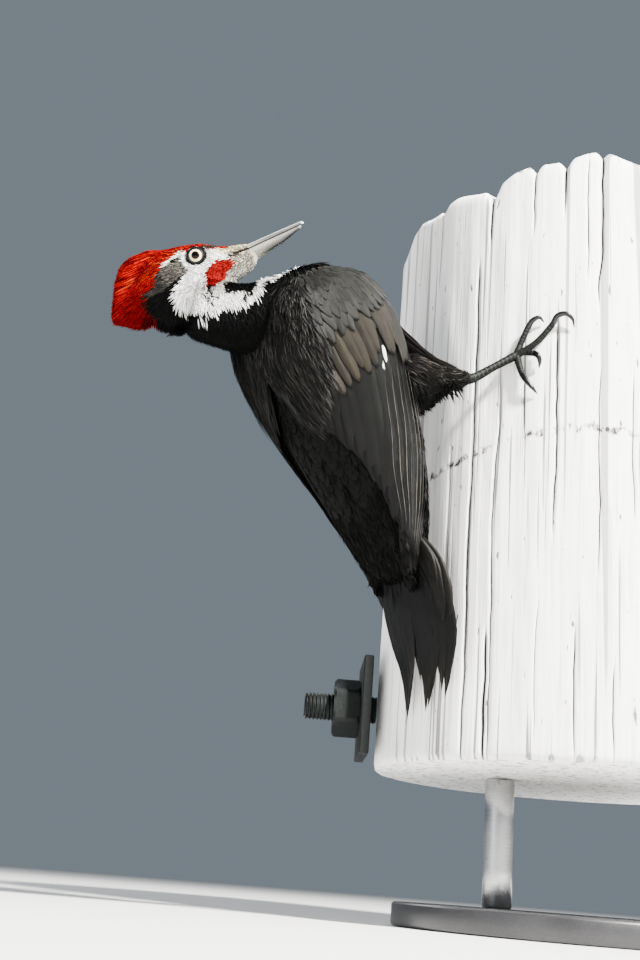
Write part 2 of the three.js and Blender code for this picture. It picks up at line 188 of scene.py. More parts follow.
# ---------------- stand: base and two rods
# A flat turned steel disc, sprayed satin black, with two ground steel rods screwed up into
# the cut foot of the pole. All three are lathe work with small chamfers.
def new_group(name, inputs, outputs):
    """An empty group of shader nodes: its wiring, the inputs it is given and its results."""
    tree = bpy.data.node_groups.new(name, "ShaderNodeTree")
    for way, sockets in (("INPUT", inputs), ("OUTPUT", outputs)):
        for title, kind in sockets.items():
            tree.interface.new_socket(title, in_out=way, socket_type="NodeSocket" + kind)
    return Wiring(tree), tree.nodes.new("NodeGroupInput").outputs, tree.nodes.new("NodeGroupOutput").inputs


def speckle_group():
    """Fine even grain: a mottled colour and a height, at a chosen scale and strength."""
    inputs = {"Dark": "Color", "Light": "Color", "Scale": "Float", "Stretch": "Vector"}
    wires, given, result = new_group("fine_grain", inputs, {"Color": "Color", "Height": "Float", "Worn": "Float"})
    place = wires.place()
    fine = wires.noise(wires.stretched(place, given["Stretch"]), given["Scale"], 4.0)
    broad = wires.noise(place, 22.0, 3.0)
    spread = wires.ranged(wires.math("MULTIPLY", fine, broad), 0.12, 0.42)
    wires.feed(result["Color"], wires.blend(spread, given["Dark"], given["Light"]))
    wires.feed(result["Height"], fine)
    wires.feed(result["Worn"], broad)
    return wires.tree


fine_grain = speckle_group()


def grained_material(name, dark, light, scale, stretch=(1, 1, 1), bump=0.00005, rough=(0.4, 0.6), **settings):
    material, wires, shader = new_material(name, **settings)
    inputs = {"Dark": (*dark, 1), "Light": (*light, 1), "Scale": scale, "Stretch": stretch}
    grain = wires.add("Group", inputs, node_tree=fine_grain)
    wires.feed(shader["Base Color"], grain["Color"])
    wires.feed(shader["Roughness"], wires.ranged(grain["Worn"], 0.3, 0.7, *rough))
    wires.bump(shader, grain["Height"], bump)
    return material


def settle(piece, material, slot, *nodes):
    """Gives a piece its material, rides it on the root, and hides the nodes that it takes the place of. The slot is
    not used.
    """
    piece.data.materials.append(material)
    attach(piece, "root")
    if nodes:
        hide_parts(*nodes)


def grid_faces(rows, columns, closed=True, start=0):
    """Quads of a grid of vertices numbered row by row; closed joins the last column to the first."""
    reach = columns if closed else columns - 1
    row, column = np.meshgrid(np.arange(rows - 1), np.arange(reach), indexing="ij")
    here = row * columns + column
    beside = row * columns + (column + 1) % columns
    return np.stack([here, beside, beside + columns, here + columns], -1).reshape(-1, 4) + start


def closed_tube(rings, ends=None, flip=False):
    """Points and faces of a tube through equal rings, closed by a fan of triangles at each end."""
    rows, columns = rings.shape[:2]
    if ends is None:
        ends = [rings[0].mean(0), rings[-1].mean(0)]
    count = rows * columns
    around = np.arange(columns)
    onward = (around + 1) % columns
    faces = [grid_faces(rows, columns), np.stack([onward, around, np.full(columns, count)], -1),
             np.stack([np.full(columns, count + 1), around, onward], -1)]
    faces[2][:, 1:] += count - columns
    if flip:
        faces = [part[:, ::-1] for part in faces]
    return np.concatenate([rings.reshape(-1, 3), ends]), faces


def ring(radius, angle, height):
    """Places round the Z axis."""
    return np.stack(np.broadcast_arrays(radius * np.cos(angle), radius * np.sin(angle), height), -1)


def lathe(name, profile, steps, middle=(0, 0)):
    """Turns a profile of (radius, height) from its foot to its top into a closed solid."""
    angle = np.arange(steps) * 2 * math.pi / steps
    rings = np.stack([ring(radius, angle, height) for radius, height in profile])
    points, faces = closed_tube(rings + (*middle, 0))
    return mesh_object(name, points, *faces)


BASE_RADIUS = 130
BASE_THICK = 15
ROD_RADIUS = 10
ROD_PLACES = (-60, 60)
ROD_FOOT = 15.35
ROD_TOP = 99.65

base = lathe("stand_disc", [
    (125, 0), (128.5, 0), (129.5, 0.6), (BASE_RADIUS, 1.8), (BASE_RADIUS, 13), (129.5, 14.2),
    (128.3, BASE_THICK), (124, BASE_THICK), (110, BASE_THICK),
], 160)
settle(base, grained_material(
    "satin_black_paint", (0.012, 0.012, 0.013), (0.030, 0.030, 0.032), 900, bump=0.00003,
    rough=(0.34, 0.46), Coat_Roughness=0.3,
), "stand_paint", "stand_base")

steel = grained_material(
    "ground_steel", (0.34, 0.345, 0.35), (0.62, 0.625, 0.63), 500, stretch=(0.2, 0.2, 6.0),
    bump=0.00001, rough=(0.22, 0.36), Metallic=1.0, Anisotropic=0.6,
)
for number, side in enumerate(ROD_PLACES, 1):
    rod = lathe(f"stand_pin_{number}", [
        (8.8, ROD_FOOT), (9.6, ROD_FOOT + 0.5), (ROD_RADIUS, ROD_FOOT + 1.4), (ROD_RADIUS, 40), (ROD_RADIUS, 70),
        (ROD_RADIUS, ROD_TOP - 1.4), (9.6, ROD_TOP - 0.5), (8.8, ROD_TOP),
    ], 64, (side, 0))
    settle(rod, steel, "stand_steel", f"stand_rod_{number}")


# ---------------- pole
# A cut length of an old utility pole. The bleached grey timber has weathered into rounded
# lobes round its top rim, and long drying cracks run down from the notches between them.
POLE_RADIUS = 148
POLE_FOOT = 100
POLE_TOP = 500
POLE_CROWN = 8
dice = np.random.default_rng(11)


def part_of(value, whole):
    """The share of a whole, held between 0 and 1."""
    return np.clip(value / whole, 0, 1)


def smooth_noise(places, seed, octaves=3):
    """Smooth values from about -1 to 1, along a line of places one unit apart."""
    total = np.zeros(np.shape(places))
    for octave in range(octaves):
        knots = np.random.default_rng(seed * 31 + octave).uniform(-1, 1, 257)
        spot = np.asarray(places) * 2**octave + 40.7 * octave
        cell = np.floor(spot).astype(int)
        part = spot - cell
        cell = cell % 256
        part = part * part * (3 - 2 * part)
        total += (knots[cell] * (1 - part) + knots[cell + 1] * part) / 2**octave
    return total / 1.6


def rim_height(angle):
    lobes = 5 * np.sin(3 * angle + 0.6) + 3 * np.sin(7 * angle + 2) + 2.5 * np.sin(17 * angle)
    return POLE_TOP + lobes


# Each crack: angle in degrees, top and foot heights, width, depth, notch at the rim.
CRACKS = [
    (-149.1, 520, 425, 0.8, 5.0, 5.0), (-130.5, 520, 455, 1.1, 8.0, 11.0), (-117.8, 520, 440, 0.7, 5.0, 6.5),
    (-109.6, 520, 452, 0.9, 6.0, 7.0), (-100.3, 520, 380, 0.8, 5.0, 5.5), (-133.9, 436, 95, 0.8, 7.0, 0),
    (-126.6, 322, 95, 0.6, 5.0, 0), (-103.8, 492, 396, 0.5, 4.0, 0), (-111.2, 376, 230, 0.7, 5.0, 0),
    (-100.2, 346, 205, 0.5, 4.0, 0), (-92.5, 344, 240, 0.4, 4.0, 0), (-119.5, 345, 282, 0.4, 3.0, 0),
    (-127.9, 180, 95, 1.1, 8.0, 0), (-141.0, 300, 190, 0.4, 3.0, 0), (-148.0, 250, 120, 0.5, 4.0, 0),
    (-115.0, 200, 110, 0.4, 3.0, 0), (-106.0, 180, 95, 0.6, 5.0, 0), (-97.0, 160, 95, 0.5, 4.0, 0),
]
for step in range(21):
    from_rim = step % 2 == 0
    top = 520 if from_rim else dice.uniform(230, 470)
    CRACKS.append((
        -80 + step * 12.6 + dice.uniform(-3, 3), top, max(95, top - dice.uniform(60, 380)),
        dice.uniform(0.4, 1.0), dice.uniform(3, 7), dice.uniform(4, 9) if from_rim else 0,
    ))


def crack_wander(index, height):
    """How far a crack strays sideways at a height, in millimetres."""
    return 1.5 * smooth_noise(height / 42 + index * 7.3, 5)


def pole_surface():
    """Columns of points from foot to rim, then in over the top, and the painted shade of each one, darker the deeper
    its crack is.
    """
    spread = np.linspace(-180, 180, 481)[:-1]
    centres = [c[0] + np.degrees(w * c[3] / POLE_RADIUS) for c in CRACKS for w in (-0.9, -0.4, 0, 0.4, 0.9)]
    columns = np.radians(np.sort(np.concatenate([spread, centres])))
    heights = np.unique(np.concatenate([np.linspace(POLE_FOOT + 0.35, 490, 92), np.linspace(280, 318, 26)]))
    angle, height = np.meshgrid(columns, heights)
    rim = rim_height(columns)
    depth = np.zeros(angle.shape)
    shift = np.zeros(angle.shape)
    for index, (place, top, foot, width, deep, notch) in enumerate(CRACKS):
        away = (np.degrees(angle) - place + 180) % 360 - 180
        reach = np.radians(away) * POLE_RADIUS
        fade = part_of(top - height, 22) * part_of(height - foot, 30)
        fade = fade * (0.75 + 0.35 * smooth_noise(height / 17 + index * 3.1, 8))
        depth = np.maximum(depth, deep * fade * np.clip(1 - np.abs(reach) / width, 0, 1))
        shift += crack_wander(index, height) * np.exp(-(reach / 9) ** 2)
        rim = rim - notch * np.clip(1 - np.abs(reach[0]) / (3 + notch * 0.35), 0, 1) ** 1.3
    part = (height - heights[0]) / (heights[-1] - heights[0])
    height = heights[0] + part * (rim - heights[0])
    hollow = 0.7 + 0.6 * smooth_noise(np.degrees(angle) / 5 + 60, 21)
    hollow += 0.35 * smooth_noise(height / 45 + 9 * angle, 22)
    edge = part_of(height - rim + 7, 7)
    radius = POLE_RADIUS - 0.3 - np.clip(hollow, 0, 2) - depth - 2.6 * edge**2
    foot_edge = part_of(POLE_FOOT + 2.5 - height, 2.5)
    radius = radius - 1.5 * foot_edge**2
    angle = angle + shift / POLE_RADIUS
    wall = ring(radius, angle, height)
    # Painted shade: each point is darkened by the depth of its crack.
    dark = np.clip(depth / 2.2, 0, 1)
    top_rows = []
    top_crack_shade = []
    for scale in (0.975, 0.94, 0.88, 0.80, 0.70, 0.58, 0.45, 0.32, 0.2, 0.1):
        rise = POLE_TOP + POLE_CROWN * (1 - scale**2) * 0.6 + (rim - POLE_TOP + 1.0) * scale**3
        # Painted shade on the top end: darker over the deep checks.
        check = np.clip(depth[-1] / 6, 0, 1) * part_of(scale - 0.35, 0.6)
        rough = 1.1 * smooth_noise(np.degrees(columns) / 3 + scale * 40, 33) * scale
        inner = radius[-1] * scale
        top_rows.append(ring(inner, angle[-1], rise - 4 * check + rough - 1.2))
        top_crack_shade.append(check)
    rows = np.concatenate([wall, top_rows])
    return rows, np.concatenate([dark, top_crack_shade])


pole_rows, pole_crack_shade = pole_surface()
row_count, column_count = pole_rows.shape[:2]
pole_points, pole_faces = closed_tube(
    pole_rows, [(0, 0, POLE_FOOT + 0.35), (0, 0, POLE_TOP + POLE_CROWN * 0.6 - 1.2)],
)
pole = mesh_object("weathered_pole", pole_points, *pole_faces)


def set_values(piece, name, values):
    """Stores one number per vertex for the material to read."""
    layer = piece.data.attributes.new(name, "FLOAT", "POINT")
    layer.data.foreach_set("value", np.asarray(values, np.float32).ravel())


# The rough belt where the wood has torn across the grain, by angle and height; the material darkens its pits with
# painted shade.
BELT = [(-180, 283), (-149, 288.7), (-142, 291.7), (-130, 299.2), (-120.6, 304.7), (-102.8, 308.8), (-92.3, 304.4),
        (-60, 296), (-20, 300), (40, 306), (90, 297), (140, 288), (180, 283)]
belt_angle, belt_height = np.array(BELT, float).T
pole_angle = np.degrees(np.arctan2(pole_points[:, 1], pole_points[:, 0]))
belt_middle = np.interp(pole_angle, belt_angle, belt_height) + 1.6 * smooth_noise(pole_angle / 1.7 + 110, 14)
belt_strength = 0.55 + 0.6 * smooth_noise(pole_angle / 6 + 110, 15)
belt = np.clip(belt_strength, 0.1, 1) * np.exp(-((pole_points[:, 2] - belt_middle) / 2.4) ** 2)
on_wall = np.hypot(pole_points[:, 0], pole_points[:, 1]) > 140
set_values(pole, "crack", np.append(pole_crack_shade.ravel(), [0, 0]))
set_values(pole, "belt", belt * on_wall)
set_values(pole, "end_grain", np.append(np.repeat(np.arange(row_count) >= row_count - 10, column_count), [1, 1]))


def weathered_wood():
    material, wires, shader = new_material("bleached_timber", roughness=0.8, Specular_IOR_Level=0.25)
    place = wires.place()
    ranged, combine = wires.ranged, wires.math

    def fibre(scale, stretch, detail=5.0, distortion=0.0):
        return wires.noise(wires.stretched(place, (1, 1, stretch)), scale, detail, distortion)

    fine = fibre(420.0, 0.045)
    coarse = fibre(90.0, 0.05, 3.0, 0.6)
    # Painted shade: the fine splits, pits and hair cracks are darkened nearly to black.
    splits = ranged(fibre(230.0, 0.022, 2.0), 0.635, 0.70)
    pits = ranged(fibre(260.0, 0.30, 2.0), 0.70, 0.75)
    stain = ranged(fibre(11.0, 0.5, 3.0), 0.58, 0.74)
    value = combine("ADD", combine("MULTIPLY", fine, 0.55), combine("MULTIPLY", coarse, 0.45))
    timber = wires.ramp(value, (0.24, (0.42, 0.42, 0.41)), (0.38, (0.74, 0.74, 0.73)),
                        (0.50, (0.90, 0.90, 0.89)), (0.75, (0.95, 0.95, 0.94)))
    stained = wires.blend(combine("MULTIPLY", stain, 0.55), timber, (0.80, 0.77, 0.72, 1), "MULTIPLY")
    # Painted shade in the torn pits of the belt.
    rag = ranged(fibre(330.0, 0.5, 4.0), 0.42, 0.60)
    belt_pit_shade = combine("MULTIPLY", ranged(wires.attribute("belt"), 0.10, 0.45), rag)
    hairs = ranged(fibre(150.0, 0.010, 1.0), 0.605, 0.650)
    marks = combine("MAXIMUM", combine("MULTIPLY", splits, 0.75), combine("MULTIPLY", pits, 0.85))
    marks = combine("MAXIMUM", marks, combine("MULTIPLY", hairs, 0.6))
    # Painted shade in the cracks, read from the crack attribute.
    cracked = ranged(wires.attribute("crack"), 0.12, 0.6)
    # All painted shade: cracks, belt pits and fine marks, blended to near black below.
    dark = combine("MAXIMUM", combine("MAXIMUM", belt_pit_shade, cracked), marks)
    rings = wires.add("TexWave", {"Vector": place, "Scale": 70.0, "Distortion": 3.0, "Detail": 3.0},
                      wave_type="RINGS", rings_direction="Z")["Fac"]
    ring_colour = wires.ramp(rings, (0.0, (0.42, 0.41, 0.39)), (1.0, (0.64, 0.63, 0.61)))
    wood = wires.blend(wires.attribute("end_grain"), stained, ring_colour)
    wires.feed(shader["Base Color"], wires.blend(dark, wood, (0.035, 0.032, 0.03, 1)))
    height = combine("SUBTRACT", combine("ADD", fine, coarse), combine("MULTIPLY", dark, 1.5))
    wires.bump(shader, height, 0.0006, 0.55)
    return material


settle(pole, weathered_wood(), "pole_wood", "perch_pole")


# ---------------- bolt: plate, nut and threaded end
# The end of a through bolt left in the pole. A square galvanised plate washer, a heavy
# hexagon nut and the cut thread of the bolt, all weathered to a dull dark green grey.
BOLT_HEIGHT = 140
PLATE_SIZE = 66
PLATE_FROM = 5.5
PLATE_THICK = 6.5
NUT_ACROSS = 36
NUT_THICK = 18
STUD_RADIUS = 9.5
STUD_END = 51 - 0.35


def along_bolt(points):
    """Points given as (sideways, up, out from the pole) go to their place on the pole."""
    points = np.asarray(points, float)
    return np.stack([-POLE_RADIUS - points[:, 2], points[:, 0], points[:, 1] + BOLT_HEIGHT], -1)


def stacked_outline(name, outlines, inner, node):
    """Closed solid through outlines of equal length, with a round bore through its middle."""
    steps = len(outlines[0])
    bore = [ring(inner, turn, outline[0, 2]) for outline in (outlines[0], outlines[-1])]
    rings = [bore[0], *outlines, bore[1]]
    wrap = grid_faces(2, steps)
    wrap = np.where(wrap >= steps, wrap - steps, wrap + (len(rings) - 1) * steps)
    piece = mesh_object(name, along_bolt(np.concatenate(rings)), grid_faces(len(rings), steps)[:, ::-1],
                        wrap[:, ::-1], smooth=False)
    settle(piece, iron, "bolt_iron", node)


iron = grained_material(
    "weathered_iron", (0.0012, 0.0022, 0.0020), (0.0060, 0.0085, 0.0075), 420, bump=0.00025,
    rough=(0.5, 0.8), Specular_IOR_Level=0.15,
)
turn = np.radians(np.arange(96) * 3.75)


def polygon_ring(sides, across, z, round_to=math.inf):
    """A ring on a regular polygon, cut down where it would pass a round chamfer."""
    sector = (turn + math.pi / sides) % (2 * math.pi / sides) - math.pi / sides
    return ring(np.minimum(across / 2 / np.cos(sector), round_to), turn, z)


plate_end = PLATE_FROM + PLATE_THICK
stacked_outline("plate_washer", [
    polygon_ring(4, PLATE_SIZE - 1.6, PLATE_FROM), polygon_ring(4, PLATE_SIZE, PLATE_FROM + 0.8),
    polygon_ring(4, PLATE_SIZE, plate_end - 0.8), polygon_ring(4, PLATE_SIZE - 1.6, plate_end),
], STUD_RADIUS + 0.35, "pole_washer")
nut_from = plate_end + 0.35
nut_end = nut_from + NUT_THICK
stacked_outline("hex_nut", [
    polygon_ring(6, NUT_ACROSS, nut_from, 19.0), polygon_ring(6, NUT_ACROSS, nut_from + 1.4, 20.0),
    polygon_ring(6, NUT_ACROSS, nut_end - 1.4, 20.0), polygon_ring(6, NUT_ACROSS, nut_end, 18.2),
], STUD_RADIUS + 0.35, "pole_nut")

THREAD_PITCH = 2.6
stud_heights = np.arange(0.35, STUD_END, THREAD_PITCH / 6)
stud_angle, stud_height = np.meshgrid(np.radians(np.arange(0, 360, 7.5)), stud_heights)
wave = np.abs(((stud_height / THREAD_PITCH + stud_angle / (2 * math.pi)) % 1) * 2 - 1)
worn_end = part_of(stud_height - STUD_END + 1.8, 1.8)
stud_reach = STUD_RADIUS - 1.25 * wave - 1.2 * worn_end
stud_points, stud_faces = closed_tube(
    ring(stud_reach, stud_angle, stud_height), [(0, 0, stud_heights[0]), (0, 0, stud_heights[-1])], flip=True,
)
stud = mesh_object("threaded_end", along_bolt(stud_points), *stud_faces)
settle(stud, iron, "bolt_iron", "pole_bolt")


# ---------------- bird: skin
# One skin lies under the coat of the whole bird, from the bill to the root of the tail and
# out to the heels. It is a little smaller than the feathered outline, by the coat's depth.
BIRD_TURN = math.radians(-146)
bird_axes = np.array([
    (math.cos(BIRD_TURN), math.sin(BIRD_TURN), 0), (-math.sin(BIRD_TURN), math.cos(BIRD_TURN), 0), (0, 0, 1),
])


def to_world(points):
    """From the bird's own frame (out from the pole, its right, up) to the stand's."""
    return np.asarray(points) @ bird_axes


def to_bird(points):
    return np.asarray(points) @ bird_axes.T


def unit(vectors):
    return vectors / np.maximum(np.linalg.norm(vectors, axis=-1, keepdims=True), 1e-9)


def level_with(vectors, normals):
    """The vectors laid flat against surfaces with the given normals."""
    return unit(vectors - normals * (vectors * normals).sum(-1, keepdims=True))


def curve_through(points, t):
    """Points at t (0 to 1) on a smooth curve through the given ones, however many values each has."""
    points = np.asarray(points, float)
    last_cell = len(points) - 2
    padded = np.vstack([2 * points[0] - points[1], points, 2 * points[-1] - points[-2]])
    spot = np.clip(np.asarray(t, float), 0, 1) * (last_cell + 1)
    cell = np.minimum(spot.astype(int), last_cell)
    w = (spot - cell)[..., None]
    p0, p1, p2, p3 = (padded[cell + k] for k in range(4))
    gap = [np.maximum(((a - b) ** 2).sum(-1, keepdims=True) ** 0.25, 1e-4) for a, b in ((p0, p1), (p1, p2), (p2, p3))]
    leave = ((p1 - p0) / gap[0] - (p2 - p0) / (gap[0] + gap[1]) + (p2 - p1) / gap[1]) * gap[1]
    reach = ((p2 - p1) / gap[1] - (p3 - p1) / (gap[1] + gap[2]) + (p3 - p2) / gap[2]) * gap[1]
    return (p1 + leave * w + (-3 * p1 + 3 * p2 - 2 * leave - reach) * w**2
            + (2 * p1 - 2 * p2 + leave + reach) * w**3)


class Form:
    """A rounded body along a line of stations: x, y, z, half width, rise over and fall under."""

    def __init__(self, stations, across, fullness=2.2):
        stations = np.asarray(stations, float)
        self.place = stations[:, :3]
        self.size = stations[:, 3:]
        self.across = np.asarray(across, float)
        self.power = 2 / fullness

    def axes(self, t):
        ahead = curve_through(self.place, np.clip(t + 1e-3, 0, 1))
        along = unit(ahead - curve_through(self.place, np.clip(t - 1e-3, 0, 1)))
        side = unit(self.across - along * (along @ self.across)[..., None])
        return along, side, np.cross(side, along)

    def at(self, t, angle, lift=0):
        _, side, over = self.axes(t)
        size = curve_through(self.size, t)
        turned = [np.sign(v) * np.abs(v) ** self.power for v in (np.cos(angle), np.sin(angle))]
        rise = turned[0] * (np.where(turned[0] > 0, size[..., 1], size[..., 2]) + lift)
        reach = turned[1] * (size[..., 0] + lift)
        return curve_through(self.place, t) + over * rise[..., None] + side * reach[..., None]

    def find(self, points, steps=160):
        """For each point, where along the form it lies and at what angle round it."""
        t = np.linspace(0, 1, steps)
        line = curve_through(self.place, t)
        parts = [part for part in np.array_split(points, 40) if len(part)]
        nearest = np.concatenate([np.argmin(((part[:, None] - line[None]) ** 2).sum(-1), 1) for part in parts])
        _, side, over = self.axes(t)
        away = points - line[nearest]
        angle = np.arctan2((away * side[nearest]).sum(-1), (away * over[nearest]).sum(-1))
        return t[nearest], angle


HEAD_PLACE = np.array([317.2, -1.3, 392.4])
HEAD_TURN, HEAD_RAISE, HEAD_TILT = (math.radians(a) for a in (46.1, 29.5, 24.3))


def head_axes():
    flat = math.cos(HEAD_RAISE)
    forward = np.array([-math.cos(HEAD_TURN) * flat, math.sin(HEAD_TURN) * flat, math.sin(HEAD_RAISE)])
    crown = unit(np.array([0, 0, 1.0]) - forward * forward[2])
    crown = crown * math.cos(HEAD_TILT) + np.cross(forward, crown) * math.sin(HEAD_TILT)
    return np.array([forward, np.cross(crown, forward), crown])


head_turned = head_axes()


def to_head(points):
    """From the bird's frame to the head's: along the bill, to the left, to the crown."""
    return (np.asarray(points) - HEAD_PLACE) @ head_turned.T


def from_head(points):
    return np.asarray(points) @ head_turned + HEAD_PLACE


trunk_form = Form([
    (166, 0, 198, 14, 9, 7), (176, 0, 222, 22, 17, 15), (189, 0, 248, 31, 27, 28), (207, 0, 282, 39, 37, 37),
    (229, 0, 318, 45, 45, 41), (249, 0, 350, 47, 46, 42), (265, 0, 374, 42, 40, 36), (274, 0, 389, 29, 27, 24),
], (0, 1, 0))
neck_form = Form([
    (262, 0, 362, 24, 26, 22), (283, 0, 362, 24, 27, 23), (300, -2, 356, 21, 23.5, 20), (316, -7, 354, 20, 22.5, 20),
    (331, -14, 358, 18, 23, 18),
], (0, 1, 0))
crest_line = [(-32, 0, 11.4), (-47, 0, 16), (-61, 0, 12), (-72, 0, 3.5), (-82, 0, -4)]
thigh_line = np.array([(210, 28.5, 328), (196, 30, 332), (183, 38, 336), (175, 43.5, 337.5), (166.5, 47.5, 339.5)])

FEATHER_END = (166, 47.5, 339.5)

# The flesh, in the order of the numbers below, and how deep the coat is on each piece.
FLESH = ["trunk", "neck", "head", "crest", "wing_left", "wing_right", "thigh_left", "thigh_right"]
TRUNK, NECK, HEAD, CREST, LEFT_WING, RIGHT_WING, LEFT_THIGH, RIGHT_THIGH = range(8)
COAT_DEPTH = np.array([2.6, 2.0, 1.1, 2.6, 1.1, 1.1, 2.2, 2.2])
SKIN_CELL = 1.35


def read(items, key, width, kind=float):
    """One array of a mesh, such as its places, with so many numbers in each row."""
    values = np.empty(len(items) * width, kind)
    items.foreach_get(key, values)
    return values.reshape(-1, width)


def world_triangles(node):
    mesh = node.data
    mesh.calc_loop_triangles()
    matrix = np.array(node.matrix_world)
    points = (read(mesh.vertices, "co", 3) @ matrix[:3, :3].T + matrix[:3, 3]) / MM
    return points, read(mesh.loop_triangles, "vertices", 3, np.int32)


def join_flesh():
    """All flesh in one mesh, each piece swollen a little so that the pieces overlap."""
    all_points, all_faces, owner, count = [], [], [], 0
    for number, name in enumerate(FLESH):
        points, faces = world_triangles(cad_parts[name])
        points, inverse = np.unique(points.round(3), axis=0, return_inverse=True)
        faces = inverse.reshape(-1)[faces]
        faces = faces[(faces[:, 0] != faces[:, 1]) & (faces[:, 1] != faces[:, 2]) & (faces[:, 0] != faces[:, 2])]
        normal = np.cross(points[faces[:, 1]] - points[faces[:, 0]], points[faces[:, 2]] - points[faces[:, 0]])
        outward = np.zeros_like(points)
        for corner in range(3):
            np.add.at(outward, faces[:, corner], normal)
        all_points.append(points + unit(outward) * 0.5)
        all_faces.append(faces + count)
        owner.append(np.full(len(faces), number))
        count += len(points)
    return np.concatenate(all_points), np.concatenate(all_faces), np.concatenate(owner)


flesh_points, flesh_faces, flesh_owner = join_flesh()
flesh_tree = BVHTree.FromPolygons(flesh_points.tolist(), flesh_faces.tolist())
skin = mesh_object("bird_skin", flesh_points, flesh_faces)
remesh = skin.modifiers.new("one skin", "REMESH")
remesh.mode = "VOXEL"
remesh.voxel_size = SKIN_CELL * MM
relax = skin.modifiers.new("relax", "SMOOTH")
relax.factor = 0.5
relax.iterations = 7
settled = bpy.data.meshes.new_from_object(skin.evaluated_get(bpy.context.evaluated_depsgraph_get()))
skin.modifiers.clear()
skin.data = settled
skin_points = read(settled.vertices, "co", 3) / MM
skin_normals = read(settled.vertices, "normal", 3)
skin_owner = flesh_owner[[flesh_tree.find_nearest(p)[2] for p in skin_points.tolist()]]
skin_edges = read(settled.edges, "vertices", 2, np.int32)
skin_faces = read(settled.loops, "vertex_index", 1, np.int32).reshape(-1, 4)


def spread_over_skin(values, rounds):
    """Evens out a value at each vertex with its neighbours'."""
    values = np.asarray(values, float)
    shape = (slice(None),) + (None,) * (values.ndim - 1)
    share = np.bincount(skin_edges.ravel(), minlength=len(values)).astype(float) + 1
    for _ in range(rounds):
        total = values.copy()
        np.add.at(total, skin_edges[:, 0], values[skin_edges[:, 1]])
        np.add.at(total, skin_edges[:, 1], values[skin_edges[:, 0]])
        values = total / share[shape]
    return values


depth = spread_over_skin(COAT_DEPTH[skin_owner], 5)
bird_points = to_bird(skin_points)
head_points = to_head(bird_points)
near_heel = np.clip(1 - np.linalg.norm(np.abs(bird_points) - FEATHER_END, axis=1) / 18, 0, 1)
near_bill = np.clip(1 - np.abs(head_points[:, 0] - 6) / 12, 0, 1) * (np.linalg.norm(head_points[:, 1:], axis=1) < 25)
wing_tip = part_of(232 - bird_points[:, 2], 40) * np.isin(skin_owner, (LEFT_WING, RIGHT_WING))
depth = depth * (1 - 0.75 * near_heel) * (1 - 0.6 * near_bill) * (1 - 0.7 * wing_tip)
skin_points = skin_points - skin_normals * depth[:, None]

# Lids: a ring of dark bare skin stands up round each eye, with fine folds in it.
EYE_RADIUS = 7.0
EYE_FORWARD = -22.9
EYE_SIDE = 9.2
EYE_UP = 8.4
LID_OPENING = 4.1
LID_REACH = 4.9


def eye_frame(side):
    """Origin and axes of an eye in the head's frame: forward, up, and out of the head."""
    out = unit(np.array([0.10, side * 1.0, 0.10]))
    up = unit(np.array([0, 0, 1.0]) - out * out[2])
    return np.array([EYE_FORWARD, side * EYE_SIDE, EYE_UP]), np.cross(up, out) * side, up, out


def lid_points(side, rows=9, steps=72):
    """Rings from inside the opening, over the lid's rim, and down on to the head."""
    centre, ahead, up, out = eye_frame(side)
    turn = np.arange(steps) * 2 * math.pi / steps
    rings = []
    for row in np.linspace(0, 1, rows):
        reach = LID_OPENING + (LID_REACH - LID_OPENING) * row
        ball = math.sqrt(max(EYE_RADIUS**2 - reach**2, 0))
        stand = 0.12 + 0.62 * math.sin(math.pi * min(row * 1.25, 1)) - 0.5 * row**3
        fold = 0.10 * np.sin(turn * 24 + row * 4) * math.sin(math.pi * row)
        oval = reach * (1 + 0.05 * row * np.cos(2 * turn))
        rings.append(centre + ahead * (oval * np.cos(turn))[:, None]
                     + up * (oval * (0.96 - 0.06 * row) * np.sin(turn))[:, None]
                     + out * (ball + stand + fold)[:, None])
    return to_world(from_head(np.concatenate(rings))), grid_faces(rows, steps)


# Markings: outlines on the side of the head, as places along the bill and towards the crown.
WHITE = np.array([0.72, 0.72, 0.69])
CREAM = np.array([0.46, 0.39, 0.22])
THROAT = np.array([0.22, 0.205, 0.16])
SCARLET = np.array([0.215, 0.0002, 0.0002])
# Painted shade on the scarlet, for the shaded foot of the red cap.
SHADED_SCARLET = np.array([0.040, 0.0001, 0.0001])
MALAR_RED = np.array([0.15, 0.0015, 0.0012])
EAR_GREY = np.array([0.060, 0.055, 0.048])
NAPE_BLACK = np.array([0.0008, 0.0009, 0.0009])
BODY_BLACK = np.array([0.0010, 0.0010, 0.00095])
LORE_DARK = np.array([0.03, 0.02, 0.014])
EAR_STRIPE = [(-19, 9), (-27, 13), (-33.7, 12.0), (-41.2, 10.9), (-47.8, 8.6), (-53, 6), (-58, -3), (-62, -12),
              (-58, -10), (-54.5, -2.5), (-42, -0.5), (-32.1, 1.6), (-22.8, 1.4), (-19, 5)]
CHEEK = [(-1, 1), (-10, 4), (-20, 2), (-27, 1.6), (-32, 1.2), (-39, -2), (-44, -7), (-45.5, -12), (-42.5, -19),
         (-36, -25), (-28, -27.6), (-17, -27.6), (-8, -26.5), (-4.3, -24.7), (-15.7, -20.7),
         (-22.2, -18.9), (-26, -14.2), (-24.4, -10.6), (-22.1, -4.6), (-16.8, -1.1), (-11.3, 0.5), (-2.2, -1.7)]
MALAR = [(-2.2, -1.7), (-1.4, -5.5), (-7.6, -8), (-15.2, -11.8), (-19.8, -13.6), (-24.4, -10.6), (-22.1, -4.6),
         (-16.8, -1.1), (-11.3, 0.5)]
CHIN = [(14, 2), (-2, 0), (-2, -3), (-7.6, -8), (-15.2, -11.8), (-19.8, -13.6), (-26, -14.2), (-24.5, -19.4),
        (-16, -20.0), (-6.6, -19.5), (0.4, -20.5), (14, -24)]
